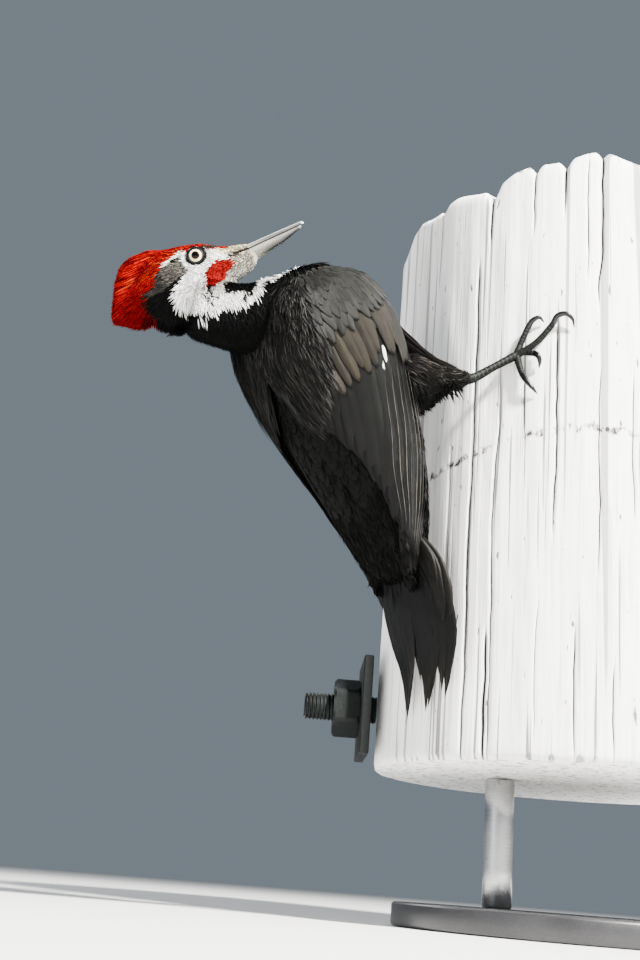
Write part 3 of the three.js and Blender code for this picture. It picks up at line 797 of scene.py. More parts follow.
RED_CAP = [(0, 3.8), (-10.4, 7.9), (-14.3, 10.4), (-23.2, 14.4), (-30.5, 15.6), (-38.2, 13.4), (-44.5, 10.4),
           (-48.3, 6.9), (-51.5, 2.5), (-56.5, -5), (-61, -12.5), (-64.5, -17.5), (-72, -28), (-110, -60), (-110, 60),
           (6, 60), (2, 12)]
BROW = [(-10.4, 11.3), (-14.3, 13), (-23.2, 16.2), (-30.5, 16.6), (-38.2, 14.6), (-44.5, 12.0), (-41.2, 11.2),
        (-33.7, 12.8), (-28.5, 13.4), (-27, 9), (-20, 10), (-14, 8)]
LORE = [(-17, 12.4), (-17, 10.4), (-12, 9.2), (-6, 7.4), (-6, 8.4), (-11, 11)]
SPECKS = [(-24.5, -10.5), (-27.5, -11), (-30.5, -17.5), (-27.8, -22.5), (-21, -21.8), (-22, -16)]
# The white stripe down the neck, between two angles from the nape, by place along the neck,
# and its narrow end along the front of the shoulder.
STRIPE_PLACES = [0.0, 0.15, 0.30, 0.38, 0.45, 0.48, 0.52, 0.58, 0.65, 0.73, 0.78, 0.83, 0.90, 1.0]
STRIPE_LOW = [166, 163, 159, 153, 143, 133, 123, 112, 99, 85, 77, 71, 66, 63]
STRIPE_HIGH = [180, 180, 180, 180, 164, 151, 138, 122, 108, 99, 96, 95, 95, 95]
SHOULDER_STRIPE = [(-5, -10), (-5, -28.2), (4, -27.0), (13.6, -25.4), (31.7, -24.3), (41, -23.1), (46, -20.5),
                   (46, -10)]


def inside(outline, x, y):
    """Which of the points lie inside a closed outline."""
    count = np.zeros(len(x), int)
    for (x0, y0), (x1, y1) in zip(outline, outline[1:] + outline[:1]):
        crosses = (y0 > y) != (y1 > y)
        slope = (x1 - x0) / (y1 - y0 if y1 != y0 else 1e-9)
        count += crosses & (x < x0 + (y - y0) * slope)
    return count % 2 == 1


def mix(first, second, amount):
    amount = np.asarray(amount)[..., None]
    return np.asarray(first) * (1 - amount) + np.asarray(second) * amount


def marking(points, owner, ragged, seed):
    """The coat's colour at each place on the bird, with outlines broken up by ragged mm."""
    rng = np.random.default_rng(seed)
    owner = np.asarray(owner)
    u, side, v = (to_head(points) + rng.normal(0, 1, (len(points), 3)) * ragged).T
    colour = np.tile(BODY_BLACK, (len(points), 1))
    on_head = np.isin(owner, (HEAD, CREST))
    on_neck = owner == NECK

    def paint(chosen, tone):
        colour[chosen] = np.broadcast_to(tone, colour.shape)[chosen]

    paint(on_head | on_neck, NAPE_BLACK)
    ear = mix(EAR_GREY, WHITE * 0.35, part_of(u + 33, 10))
    paint(inside(EAR_STRIPE, u, v) & on_head, mix(ear, NAPE_BLACK * 2, part_of(-u - 36, 16)))
    paint(inside(BROW, u, v) & on_head, WHITE)
    paint((u > -23) & (v > 0) & on_head, mix(WHITE, CREAM, part_of(u + 15, 11)))
    paint((np.hypot(u - EYE_FORWARD, v - EYE_UP) < 8.2) & on_head & (np.abs(side) > 6), WHITE * 0.92)
    paint((owner == TRUNK) & inside(SHOULDER_STRIPE, u, v) & (np.asarray(points)[:, 1] > 0), WHITE)
    if on_neck.any():
        t, angle = neck_form.find(points + rng.normal(0, 1, (len(points), 3)) * ragged * 1.3)
        angle = np.abs(np.degrees(angle))
        low = np.interp(t, STRIPE_PLACES, STRIPE_LOW)
        high = np.interp(t, STRIPE_PLACES, STRIPE_HIGH)
        paint(on_neck & (angle > low) & (angle < high), WHITE)
        on_neck = on_neck & (t > 0.60)
    near_head = on_head | on_neck
    paint(inside(CHEEK, u, v) & near_head, WHITE)
    chin = inside(CHIN, u, v) & (on_head | (on_neck & ((v > -14) | (u < -16))))
    paint(chin | (on_head & (u > -3) & (v < 1.5)), mix(THROAT, WHITE * 0.7, part_of(-v - 8, 10)))
    # Painted shade along the gape, in line with the mouth line of the bill.
    paint(on_head & (u > -3.5) & (np.abs(v + 0.4 + 0.035 * u) < 0.8), LORE_DARK * 0.5)
    paint(inside(SPECKS, u, v) & near_head & (rng.random(len(u)) < 0.6), NAPE_BLACK * 2)
    paint(inside(MALAR, u, v) & near_head & (np.abs(side) > 3), MALAR_RED)
    # Painted shade: the red deepens towards the lower hind part of the red cap.
    foot = part_of(-0.5 * u - 0.866 * v - 20, 20) * part_of(u + 88, 18)
    paint(inside(RED_CAP, u, v) & on_head, mix(SCARLET, SHADED_SCARLET, foot))
    paint(inside(LORE, u, v) & on_head, LORE_DARK)
    return colour


def lay_values(piece, name, values):
    """Stores a colour ("marking") or a vector at each vertex for the materials to read."""
    if name == "marking":
        layer = piece.data.color_attributes.new(name, "FLOAT_COLOR", "POINT")
        flat = np.concatenate([values, np.ones((len(values), 1))], 1)
        layer.data.foreach_set("color", flat.astype(np.float32).ravel())
    else:
        layer = piece.data.attributes.new(name, "FLOAT_VECTOR", "POINT")
        layer.data.foreach_set("vector", np.asarray(values, np.float32).ravel())


def barbing_group():
    """Fine barbs slanting off each shaft, and a slow mottling, from the lay of the vane."""
    wires, given, result = new_group("barbing", {"Contrast": "Float", "Spacing": "Float"},
                                     {"Color": "Color", "Height": "Float"})
    part = wires.add("SeparateXYZ", {0: wires.attribute("barb", "Vector")})
    slant = wires.math("MULTIPLY", wires.math("ABSOLUTE", part["X"]), -3.2)
    along = wires.math("ADD", part["Y"], slant)
    wave = wires.math("SINE", wires.math("MULTIPLY", along, given["Spacing"]))
    cloud = wires.ranged(wires.noise(wires.place(), 130.0, 4.0), 0.3, 0.7, 0.72, 1.28)
    gain = wires.math("ADD", cloud, wires.math("MULTIPLY", wave, given["Contrast"]))
    wires.feed(result["Color"], wires.scaled(wires.attribute("marking", "Color"), gain))
    wires.feed(result["Height"], wave)
    return wires.tree


barbing = barbing_group()


def plumage(name, contrast=0.16, spacing=9.0, bump=0.00006, roughness=0.55, **settings):
    material, wires, shader = new_material(name, roughness=roughness, **settings)
    barbs = wires.add("Group", {"Contrast": contrast, "Spacing": spacing}, node_tree=barbing)
    wires.feed(shader["Base Color"], barbs["Color"])
    wires.bump(shader, barbs["Height"], bump, 0.6)
    return material


skin_plumage = plumage("under_down", contrast=0.0, bump=0.00002, roughness=0.8, Specular_IOR_Level=0.04)
skin_parts = [skin_points]
face_parts = [skin_faces]
skin_colours = [marking(to_bird(skin_points), skin_owner, 0.0, 1)]
for side in (1, -1):
    lid, faces = lid_points(side)
    face_parts.append(faces + sum(map(len, skin_parts)))
    skin_parts.append(lid)
    shade = np.interp(np.arange(9), (0, 2, 4, 6, 8), (0.003, 0.004, 0.075, 0.006, 0.003))
    skin_colours.append(np.repeat(shade, len(lid) // 9)[:, None] * (1, 0.96, 0.90))
bpy.data.objects.remove(skin)
skin = mesh_object("bird_skin", np.concatenate(skin_parts), *face_parts)
lay_values(skin, "marking", np.concatenate(skin_colours))
settle(skin, skin_plumage, "plumage_black", *FLESH)

# Everything of the coat is laid on this copy of the skin, in the bird's own frame.
bed_points = to_bird(skin_points)
bed_tree = BVHTree.FromPolygons(bed_points.tolist(), skin_faces.tolist())
bed_normals = to_bird(skin_normals)


def skin_flow():
    """Which way the coat lies at each vertex of the skin."""
    flow = np.zeros_like(bed_points)
    local = to_head(bed_points)
    from_bill = local - (13, 0, -3)
    radial = unit(from_bill) @ head_turned
    line_t = np.linspace(0, 1, 60)
    line = curve_through(crest_line, line_t)
    spot = np.argmin(((local[:, None] - line[None]) ** 2).sum(-1), 1)
    tangent = unit(np.gradient(line, axis=0))
    swept = unit(tangent[spot] + (0, 0, -0.10)) @ head_turned
    crown = part_of(local[:, 2] - 8, 8) * part_of(-local[:, 0] - 14, 20)
    on = skin_owner == HEAD
    nape = (part_of(-local[:, 2] - 8, 10) * part_of(-local[:, 0] - 22, 20))[:, None]
    hanging = unit(np.stack([-0.45 + 0.35 * nape[:, 0], 0 * crown, -1 + 0 * crown], -1)) @ head_turned
    radial = radial * (1 - nape) + hanging * nape
    flow[on] = (radial * (1 - crown[:, None]) + swept * crown[:, None])[on]
    falling = np.zeros_like(local) - (1, 0, 0)
    falling[:, 2] = np.clip((local[:, 2] - 9) * 0.020, -0.42, 0.35)
    falling[:, 2] -= 1.3 * part_of(local[:, 0] + 80, 14) * part_of(-local[:, 2] + 2, 10)
    back = part_of(-local[:, 0] - 40, 15)[:, None]
    on = skin_owner == CREST
    flow[on] = (swept * (1 - back) + unit(falling) @ head_turned * back)[on]
    on = skin_owner == TRUNK
    t, _ = trunk_form.find(bed_points[on])
    flow[on] = -trunk_form.axes(t)[0]
    on = skin_owner == NECK
    t, _ = neck_form.find(bed_points[on])
    flow[on] = -neck_form.axes(t)[0] * 0.45 + (0, 0, -1.0)
    for number in (LEFT_WING, RIGHT_WING):
        on = skin_owner == number
        t, _ = trunk_form.find(bed_points[on])
        flow[on] = -trunk_form.axes(t)[0]
    for number, side in ((LEFT_THIGH, -1), (RIGHT_THIGH, 1)):
        on = skin_owner == number
        way = unit(np.array([166.5, 47.5 * side, 339.5]) - (210, 22 * side, 328)) + (0, 0, -0.55)
        shank = unit(np.array([-23.7, 14.5 * side, 18.8]))
        near_heel = part_of(184 - bed_points[on][:, :1], 12)
        flow[on] = way * (1 - near_heel) + shank * near_heel
    flow = spread_over_skin(unit(flow), 26)
    return level_with(flow, bed_normals)


bed_flow = skin_flow()


def on_bed(points):
    """Nearest places on the skin: the place, its outward normal and one vertex beside it."""
    places = np.empty_like(points)
    vertex = np.empty(len(points), int)
    for number, point in enumerate(points.tolist()):
        place, _, face, _ = bed_tree.find_nearest(point)
        places[number] = place
        vertex[number] = skin_faces[face, 0]
    return places, bed_normals[vertex], vertex


def scatter(mask, density, seed):
    """Roots spread evenly over the chosen faces: places, normals, beside which vertex."""
    rng = np.random.default_rng(seed)
    faces = skin_faces[mask]
    a, b, c, d = (bed_points[faces[:, k]] for k in range(4))
    area = 0.5 * np.linalg.norm(np.cross(c - a, d - b), axis=1)
    wanted = area * (density[mask] if np.ndim(density) else density)
    count = np.floor(wanted + rng.random(len(faces))).astype(int)
    pick = np.repeat(np.arange(len(faces)), count)
    s, t = rng.random((2, len(pick), 1))
    places = (a[pick] * (1 - s) + b[pick] * s) * (1 - t) + (d[pick] * (1 - s) + c[pick] * s) * t
    return places, bed_normals[faces[pick, 0]], faces[pick, 0]


def lay_down(places, normals, vertex, length, rise, rows=5, hold=(1, 1), stray=0.12, seed=0, pull=(0, 0, 0)):
    """Spines that follow the lie of the coat over the skin, rising towards their tips."""
    rng = np.random.default_rng(seed)
    way = bed_flow[vertex] + pull + rng.normal(0, stray, places.shape)
    way = level_with(way, normals)
    length = np.broadcast_to(length, len(places))[:, None]
    rise = np.broadcast_to(rise, len(places))[:, None]
    hold = [np.broadcast_to(end, len(places))[:, None] for end in hold]
    here = places + normals * 0.1
    spine, facing = [here], [normals]
    for row in range(1, rows):
        part = row / (rows - 1)
        grip = hold[0] + (hold[1] - hold[0]) * part
        onward = here + way * length / (rows - 1)
        nearest, normal, beside = on_bed(onward)
        target = nearest + normal * (0.1 + rise * part**1.2)
        here = onward * (1 - grip) + target * grip
        normal = unit(facing[-1] * (1 - grip) + normal * grip)
        bend = unit(bed_flow[beside] + pull)
        way = unit(way * (1 - 0.55 * grip) + bend * 0.55 * grip)
        way = unit(way - normal * (way * normal).sum(-1, keepdims=True) * grip)
        spine.append(here)
        facing.append(normal)
    return np.stack(spine, 1), np.stack(facing, 1)


BAKE_PATCH = 0.003


def weave_coat(name, spine, facing, half, colour, unwrap, finish, slot, columns=3, camber=0.5, lean=0.0, seed=0):
    """Builds closed tapering vanes, one for each spine, as one mesh that rides with the bird."""
    rng = np.random.default_rng(seed)
    count, rows = spine.shape[:2]
    forward = unit(np.gradient(spine, axis=1))
    side = unit(np.cross(forward, facing))
    over = np.cross(side, forward)
    across = np.linspace(-1, 1, columns)
    arch = (1 - np.abs(across) ** 2.0) * camber
    reach = across + lean * (1 - across**2)
    ring = (spine[:, :-1, None] + side[:, :-1, None] * (reach[:, None] * half[:, :-1, None, None])
            + over[:, :-1, None] * (arch[:, None] * half[:, :-1, None, None]))
    body = (rows - 1) * columns
    points = np.concatenate([ring.reshape(count, body, 3), spine[:, -1:]], 1)
    top = grid_faces(rows - 1, columns, closed=True)
    tip_from = (rows - 2) * columns
    tip = np.array([(tip_from + k, tip_from + (k + 1) % columns, body) for k in range(columns)])
    cap = np.array([(0, k + 1, k) for k in range(1, columns - 1)])
    first = (np.arange(count) * (body + 1))[:, None, None]
    quads = (top[None] + first).reshape(-1, 4)
    triangles = (np.concatenate([tip, cap])[None] + first).reshape(-1, 3)
    piece = mesh_object(name, to_world(points.reshape(-1, 3)), quads, triangles)
    if np.ndim(colour) == 2:
        colour = np.repeat(colour[:, None], rows, 1)
    if np.ndim(colour) == 3:
        colour = np.repeat(colour[:, :, None], columns, 2)
    paint = np.concatenate([colour[:, :-1].reshape(count, body, 3), colour[:, -1:, columns // 2]], 1)
    lay_values(piece, "marking", paint.reshape(-1, 3))
    step = np.linalg.norm(np.diff(spine, axis=1), axis=-1)
    run = np.concatenate([np.zeros((count, 1)), np.cumsum(step, 1)], 1)
    lay = np.stack(np.broadcast_arrays(
        across[None, None] * np.maximum(half[:, :-1, None], 0.01), run[:, :-1, None], rng.random((count, 1, 1)),
    ), -1).reshape(count, body, 3)
    end = np.stack([np.zeros(count), run[:, -1], lay[:, 0, 2]], -1)[:, None]
    lay_values(piece, "barb", np.concatenate([lay, end], 1).reshape(-1, 3))
    small = BAKE_PATCH
    spread = np.stack(np.broadcast_arrays(
        across[None] * small / 2, np.linspace(-0.5, 0.5, rows)[:-1, None] * small,
    ), -1).reshape(1, body, 2)
    patch = np.concatenate([spread, [[(0, small / 2)]]], 1)
    chart = (unwrap[:, None] * 0.99 + 0.005 + patch).reshape(-1, 2)
    bake = piece.data.uv_layers.new(name="OFBake")
    corners = np.concatenate([quads.ravel(), triangles.ravel()])
    bake.data.foreach_set("uv", chart[corners].astype(np.float32).ravel())
    settle(piece, finish, slot)
    return piece


def taper(rows, root, middle, tip, count, rng, jitter=0.15):
    """Half widths from root to tip: narrow, full in the middle, then drawn to a point."""
    part = np.linspace(0, 1, rows)
    shape = np.interp(part, (0, 0.35, 0.75, 1), (root, middle, middle * 0.75, tip))
    return shape[None] * rng.uniform(1 - jitter, 1 + jitter, (count, 1))


# ---------------- eyes
# A wet ball in each socket: black pupil, a thin orange ring and a pale yellow iris with a
# dark rim. The clear front stands up a little over the iris.
def iris_material():
    material, wires, shader = new_material("pale_iris", roughness=0.3, Specular_IOR_Level=0.05, Coat_Roughness=0.02,
                                           Coat_Weight=0.12)
    streaks = wires.noise(wires.attribute("barb", "Vector"), 9.0, 3.0)
    rings = wires.ramp(
        wires.math("DIVIDE", wires.attribute("reach"), EYE_RADIUS),
        (0.0, (0.0005, 0.0005, 0.0005)), (0.335, (0.0005, 0.0005, 0.0005)),
        (0.352, (0.20, 0.06, 0.008)), (0.39, (0.66, 0.42, 0.14)), (0.43, (0.84, 0.76, 0.50)),
        (0.53, (0.86, 0.80, 0.58)), (0.565, (0.30, 0.25, 0.14)), (0.585, (0.004, 0.004, 0.004)),
    )
    light = wires.ranged(streaks, 0.3, 0.7, 0.82, 1.1)
    wires.feed(shader["Base Color"], wires.scaled(rings, light))
    return material


iris = iris_material()
polar = np.radians(np.concatenate([np.linspace(1, 60, 60), np.linspace(64, 178, 24)]))
circle = np.radians(np.arange(0, 360, 5))
dome = 1 + 0.035 * np.clip(1 - (np.sin(polar) * EYE_RADIUS / 4.2) ** 2, 0, 1) * (polar < 1.5)
radius = (EYE_RADIUS - 0.12) * dome
rim = radius[:, None] * np.sin(polar)[:, None]
for side, name in ((1, "left"), (-1, "right")):
    centre, ahead, up, out = eye_frame(side)
    rings = (centre + ahead * (rim * np.cos(circle))[..., None] + up * (rim * np.sin(circle))[..., None]
             + out * (radius * np.cos(polar))[:, None, None])
    points, faces = closed_tube(rings, [centre + out * radius[0], centre - out * radius[-1]])
    ball = mesh_object(f"eyeball_{name}", to_world(from_head(points)), *faces)
    reach = np.where(polar < 1.5, EYE_RADIUS * np.sin(polar), EYE_RADIUS)
    set_values(ball, "reach", np.append(np.repeat(reach, len(circle)), [0, EYE_RADIUS]))
    spokes = ring(3, circle, 0 * circle)
    lay_values(ball, "barb", np.concatenate([np.tile(spokes, (len(polar), 1)), np.zeros((2, 3))]))
    settle(ball, iris, "eye", f"eye_{name}")


# ---------------- bill
# Two straight halves of grey horn that meet in a line of painted shade. The upper has a sharp ridge and
# a line along its side, the lower a keel, and both end in a squared chisel tip.
BILL_PLACES = (-3, 11.4, 28.4, 46.9)
BILL_HALF_WIDTH = (5.1, 4.6, 3.1, 1.4)
UPPER_RISE = (3.2, 2.9, 2.5, 1.9)
LOWER_FALL = (8.4, 8.2, 5.6, 1.0)


def horn_material():
    material, wires, shader = new_material("grey_horn", roughness=0.34, Coat_Weight=0.25, Coat_Roughness=0.2)
    streak = wires.noise(wires.attribute("barb", "Vector"), 2.6, 5.0)
    light = wires.ranged(streak, 0.3, 0.7, 0.72, 1.22)
    wires.feed(shader["Base Color"], wires.scaled(wires.attribute("marking", "Color"), light))
    wires.bump(shader, streak, 0.00012, 0.5)
    return material


horn = horn_material()


def bill_half(upper):
    """Sections down the bill; each runs from one mouth edge over the ridge to the other."""
    end = BILL_PLACES[3] - (0 if upper else 2.2)
    x = np.concatenate([np.linspace(-3, end - 1.6, 70), end - np.array([1.1, 0.7, 0.35, 0.1])])
    angle = np.radians(np.linspace(-90, 90, 41))
    place, turn_in = np.meshgrid(x, angle, indexing="ij")
    wide = np.interp(x, BILL_PLACES, BILL_HALF_WIDTH)[:, None]
    tall = np.interp(x, BILL_PLACES, UPPER_RISE if upper else LOWER_FALL)[:, None]
    blunt = part_of(x - end + 1.6, 1.6)[:, None]
    wide = wide * (1 - 0.30 * blunt**2) - (0 if upper else 0.25)
    tall = tall * (1 - 0.45 * blunt**2)
    power = 2 / (1.45 if upper else 1.75)
    across = np.sign(turn_in) * np.abs(np.sin(turn_in)) ** (2 / 1.9) * wide
    rise = np.abs(np.cos(turn_in)) ** power * tall
    length_part = (place + 3) / 50
    ridge_at = np.radians(52)
    ridge = 0.28 * np.exp(-((np.abs(turn_in) - ridge_at) / 0.16) ** 2) * np.clip(1.15 - length_part, 0, 1)
    hollow = 0.22 * np.exp(-((np.abs(turn_in) - ridge_at - 0.42) / 0.20) ** 2) * np.clip(1.1 - length_part, 0, 1)
    if upper:
        across = across + np.sign(turn_in) * (ridge - hollow)
    mouth = -0.4 - place * 0.035
    sign = 1 if upper else -1
    z = mouth + sign * (0.12 + rise)
    points = np.stack([place, -across, z], -1)
    part = np.abs(np.cos(turn_in))
    if upper:
        side_grey = mix((0.055, 0.057, 0.055), (0.14, 0.14, 0.135), part_of(np.abs(turn_in) - 0.9, 0.5))
        # Painted highlight: a pale band on either side of the top of the upper half.
        colour = mix(side_grey, (0.46, 0.46, 0.45), np.exp(-((np.abs(turn_in) - 0.42) / 0.20) ** 2))
        colour = mix(colour, (0.14, 0.14, 0.135), np.exp(-(turn_in / 0.16) ** 2) * 0.6)
        colour = mix(colour, (0.52, 0.49, 0.40), np.clip(1 - length_part * 2.2, 0, 1) * 0.6)
    else:
        colour = mix((0.20, 0.19, 0.155), (0.12, 0.115, 0.10), part_of(length_part - 0.40, 0.4) * 0.7)
        # Painted shade: a darker band down each side of the lower half, and its underside near black towards the tip.
        colour = mix(colour, (0.085, 0.078, 0.06), np.exp(-((part - 0.50) / 0.16) ** 2) * 0.8)
        under = part_of(part - 0.42, 0.22) * part_of(length_part - 0.16, 0.3)
        colour = mix(colour, (0.006, 0.0065, 0.006), under)
    # Painted shade: both halves darken nearly to black towards the mouth line where they meet.
    colour = mix(colour, (0.003, 0.003, 0.003), np.clip(1.25 - rise / 0.62, 0, 1))
    colour = mix(colour, (0.80, 0.78, 0.72), part_of(place - end + 2.0, 1.6) * (0.8 if upper else 0.3))
    flat, faces = closed_tube(points, flip=not upper)
    name = "upper" if upper else "lower"
    piece = mesh_object(f"bill_horn_{name}", to_world(from_head(flat)), *faces)
    lay_values(piece, "marking", np.concatenate([colour.reshape(-1, 3), colour[0, :1], colour[-1, :1]]))
    lay = np.stack([place * 0.07, turn_in * 2.4, place * 0 + sign], -1).reshape(-1, 3)
    lay_values(piece, "barb", np.concatenate([lay, lay[:1], lay[-1:]]))
    settle(piece, horn, "bill_horn", f"bill_{name}")


bill_half(True)
bill_half(False)


# ---------------- feet and claws
# Lean grey-green shanks and toes that grip the wood, with overlapping plates on top and
# pads below, and long curved claws of black horn.
THIGH_END = (167.5, 46.5, 339.2)
HEEL = (162, 49, 340.5)
SHANK = (150, 56.5, 350)
ANKLE = (138.3, 63.5, 359.3)
TOE_RADIUS = 2.3
CLAW_RADIUS = 1.9
# Angle round the pole, height, and stand off the wood.
TOES = {
    "inner": [(24.9, 360, 3.6), (25.6, 366, 3), (27.3, 377.5, 2.7)],
    "front": [(24.9, 360, 3.6), (27.3, 363.2, 3), (30.3, 368.6, 2.8), (33.7, 379, 2.8)],
    "outer": [(24.9, 360, 3.6), (26.3, 361.8, 2.9), (28.9, 360.4, 2.7)],
    "back": [(24.9, 360, 3.6), (25.6, 353, 3), (26.3, 347.4, 2.8)],
}
CLAWS = {
    "inner": [(27.55, 378.7, 2.8), (28.9, 382.8, 4.3), (30.5, 385.2, 3.4), (31.6, 382.4, 0.9)],
    "front": [(34.05, 380.3, 2.9), (35.2, 384.4, 4.6), (37.3, 385.4, 4.8), (38.8, 382, 3.2), (39.1, 377.2, 0.9)],
    "outer": [(29.5, 360.1, 2.7), (30.5, 357.6, 3.9), (30.9, 353.9, 2.9), (30.5, 350.2, 0.9)],
    "back": [(26.5, 346.1, 2.8), (27.6, 341.4, 3.9), (29.1, 336.2, 2.9), (30.2, 332.3, 0.9)],
}


def on_pole(places, side):
    angle, height, stand = np.array(places, float).T
    return ring(POLE_RADIUS + stand, np.radians(angle) * side, height)


def limb(line, radii, plate, pad, steps=28, pitch=0.22):
    """A tube down a smooth line: raised plates on the side away from the pole, pads below."""
    length = np.linalg.norm(np.diff(line, axis=0), axis=1).sum()
    t = np.linspace(0, 1, max(int(length / pitch), 12))
    middle = curve_through(line, t)
    reach = np.interp(t, np.linspace(0, 1, len(radii)), radii)
    ahead = unit(np.gradient(middle, axis=0))
    outward = level_with(middle * (1, 1, 0), ahead)
    beside = np.cross(ahead, outward)
    turn_round = np.arange(steps) * 2 * math.pi / steps
    facing_out = np.clip(np.cos(turn_round), 0, 1)[None]
    facing_in = np.clip(-np.cos(turn_round), 0, 1)[None]
    run = (t * length)[:, None]
    step_of = (run / plate) % 1 if plate else run * 0
    ridge = (0.11 * (1 - step_of) ** 2 - 0.03) * facing_out**0.6 if plate else 0
    scale_row = np.floor(turn_round / (2 * math.pi) * 14)
    small = 0.035 * np.cos(2 * math.pi * (run / 0.9 + 0.5 * (scale_row % 2))) * (1 - facing_out) if plate else 0
    soft = pad * (0.5 - 0.5 * np.cos(2 * math.pi * run / 6.5)) * facing_in
    r = reach[:, None] * (1 + ridge + small + soft)
    rings = (middle[:, None] + outward[:, None] * (r * np.cos(turn_round))[..., None]
             + beside[:, None] * (r * np.sin(turn_round))[..., None])
    # Painted highlight on the front edge of each plate, on the side away from the pole.
    edge = np.clip(1 - np.abs(step_of - 0.05) / 0.16, 0, 1) * facing_out**0.4 if plate else run * 0 + facing_out * 0
    ends = [middle[0] - ahead[0] * reach[0] * 0.4, middle[-1] + ahead[-1] * reach[-1] * 0.4]
    points, faces = closed_tube(rings, ends)
    return points, faces, np.append(np.broadcast_to(edge, r.shape).ravel(), [0, 0])


def join_parts(parts):
    """Joins tubes into one set of points and faces, with their painted edge highlights."""
    points, quads, triangles, marks, count = [], [], [], [], 0
    for part_points, faces, edge in parts:
        points.append(part_points)
        quads.append(faces[0] + count)
        triangles += [faces[1] + count, faces[2] + count]
        marks.append(edge)
        count += len(part_points)
    return np.concatenate(points), np.concatenate(quads), np.concatenate(triangles), np.concatenate(marks)


def foot_material():
    material, wires, shader = new_material("scaled_foot_skin", roughness=0.5, Specular_IOR_Level=0.08)
    inputs = {"Dark": (0.0006, 0.0008, 0.0007, 1), "Light": (0.0034, 0.0042, 0.0036, 1), "Scale": 700.0,
              "Stretch": (1, 1, 1)}
    grain = wires.add("Group", inputs, node_tree=fine_grain)
    # Painted highlights on the plate edges.
    plates = wires.blend(wires.attribute("plate_edge_highlight"), grain["Color"], (0.038, 0.041, 0.036, 1))
    wires.feed(shader["Base Color"], plates)
    wires.bump(shader, grain["Height"], 0.00015)
    return material


foot_skin = foot_material()
black_horn = grained_material(
    "black_claw_horn", (0.0008, 0.0008, 0.0009), (0.0024, 0.0024, 0.0026), 300, stretch=(1, 1, 0.3), bump=0.00002,
    rough=(0.25, 0.4), Specular_IOR_Level=0.2, Coat_Weight=0.2, Coat_Roughness=0.12,
)
for side, name in ((-1, "left"), (1, "right")):
    mirror = np.array([1, side, 1])
    parts = [limb(np.array([THIGH_END, HEEL, SHANK, ANKLE]) * mirror, (3.0, 3.3, 2.5, 2.9), 2.4, 0.0)]
    for toe in TOES.values():
        line = on_pole(toe, side)
        line[-1] += unit(line[-1] - line[-2]) * 1.5
        parts.append(limb(line, (TOE_RADIUS * 1.08, TOE_RADIUS * 0.92, TOE_RADIUS * 0.82), 1.7, 0.16))
    points, quads, triangles, marks = join_parts(parts)
    foot = mesh_object(f"scaled_foot_{name}", to_world(points), quads, triangles)
    set_values(foot, "plate_edge_highlight", marks)
    settle(foot, foot_skin, "foot_skin", f"foot_{name}")
    for toe, places in CLAWS.items():
        points, faces, _ = limb(on_pole(places, side), (CLAW_RADIUS * 1.08, 1.85, 1.35, 0.34), 0, 0, steps=20)
        claw = mesh_object(f"talon_{toe}_{name}", to_world(points), *faces)
        settle(claw, black_horn, "claw_horn", f"claw_{toe}_{name}")


# ---------------- tail
# Stiff, pointed feathers with strong shafts, propped on the wood. The middle pair lies on
# top; all have worn brown points. Short coverts close the root of the fan above and below.
TAIL_LINE = [(187, 0, 246), (175, 5, 217), (165.5, 7, 187), (155, 6, 155), (150.6, 3.5, 124)]
TAIL_HALF = [(11,), (25,), (28.5,), (22,), (18.5,)]
TAIL_THICK = 1.6
WORN_BROWN = np.array([0.010, 0.0085, 0.0064])
TAIL_BLACK = np.array([0.0008, 0.0011, 0.0011])
SHAFT_PALE = np.array([0.060, 0.054, 0.044])


def tail_place(along, across, lift):
    spot = curve_through(TAIL_LINE, along)
    y = across * curve_through(TAIL_HALF, along)[..., 0]
    out = lift - y**2 / 290
    return spot + np.stack([out, y, out * 0], -1)


def facing_of(spine, beside):
    """Outward normals of a surface from a line on it and the same line moved sideways."""
    return unit(np.cross(beside - spine, np.gradient(spine, axis=-2)))


def vane_width(part, half, root=0.35, shoulder=0.25, point=0.80, blunt=0.5):
    """Half width of a feather from root to tip: opens, runs parallel, then rounds off."""
    part = np.asarray(part)
    opening = root + (1 - root) * np.clip(part / shoulder, 0, 1) ** 0.7
    closing = np.clip((1 - part) / (1 - point), 0, 1) ** blunt
    return half * opening * closing


def add_shafts(spine, facing, half, colour, shaft_colour, thick=0.42, lift=0.25, aside=0.0):
    """Adds a thin rib along each vane, a little to one side, and returns the longer arrays."""
    forward = unit(np.gradient(spine, axis=1))
    side = unit(np.cross(forward, facing))
    rows = spine.shape[1]
    rib = spine + facing * lift + side * (aside * half)[..., None]
    width = np.broadcast_to(np.linspace(thick, thick * 0.35, rows), half.shape)
    tone = np.broadcast_to(shaft_colour, colour.shape)
    return (np.concatenate([spine, rib]), np.concatenate([facing, facing]), np.concatenate([half, width]),
            np.concatenate([colour, tone]))


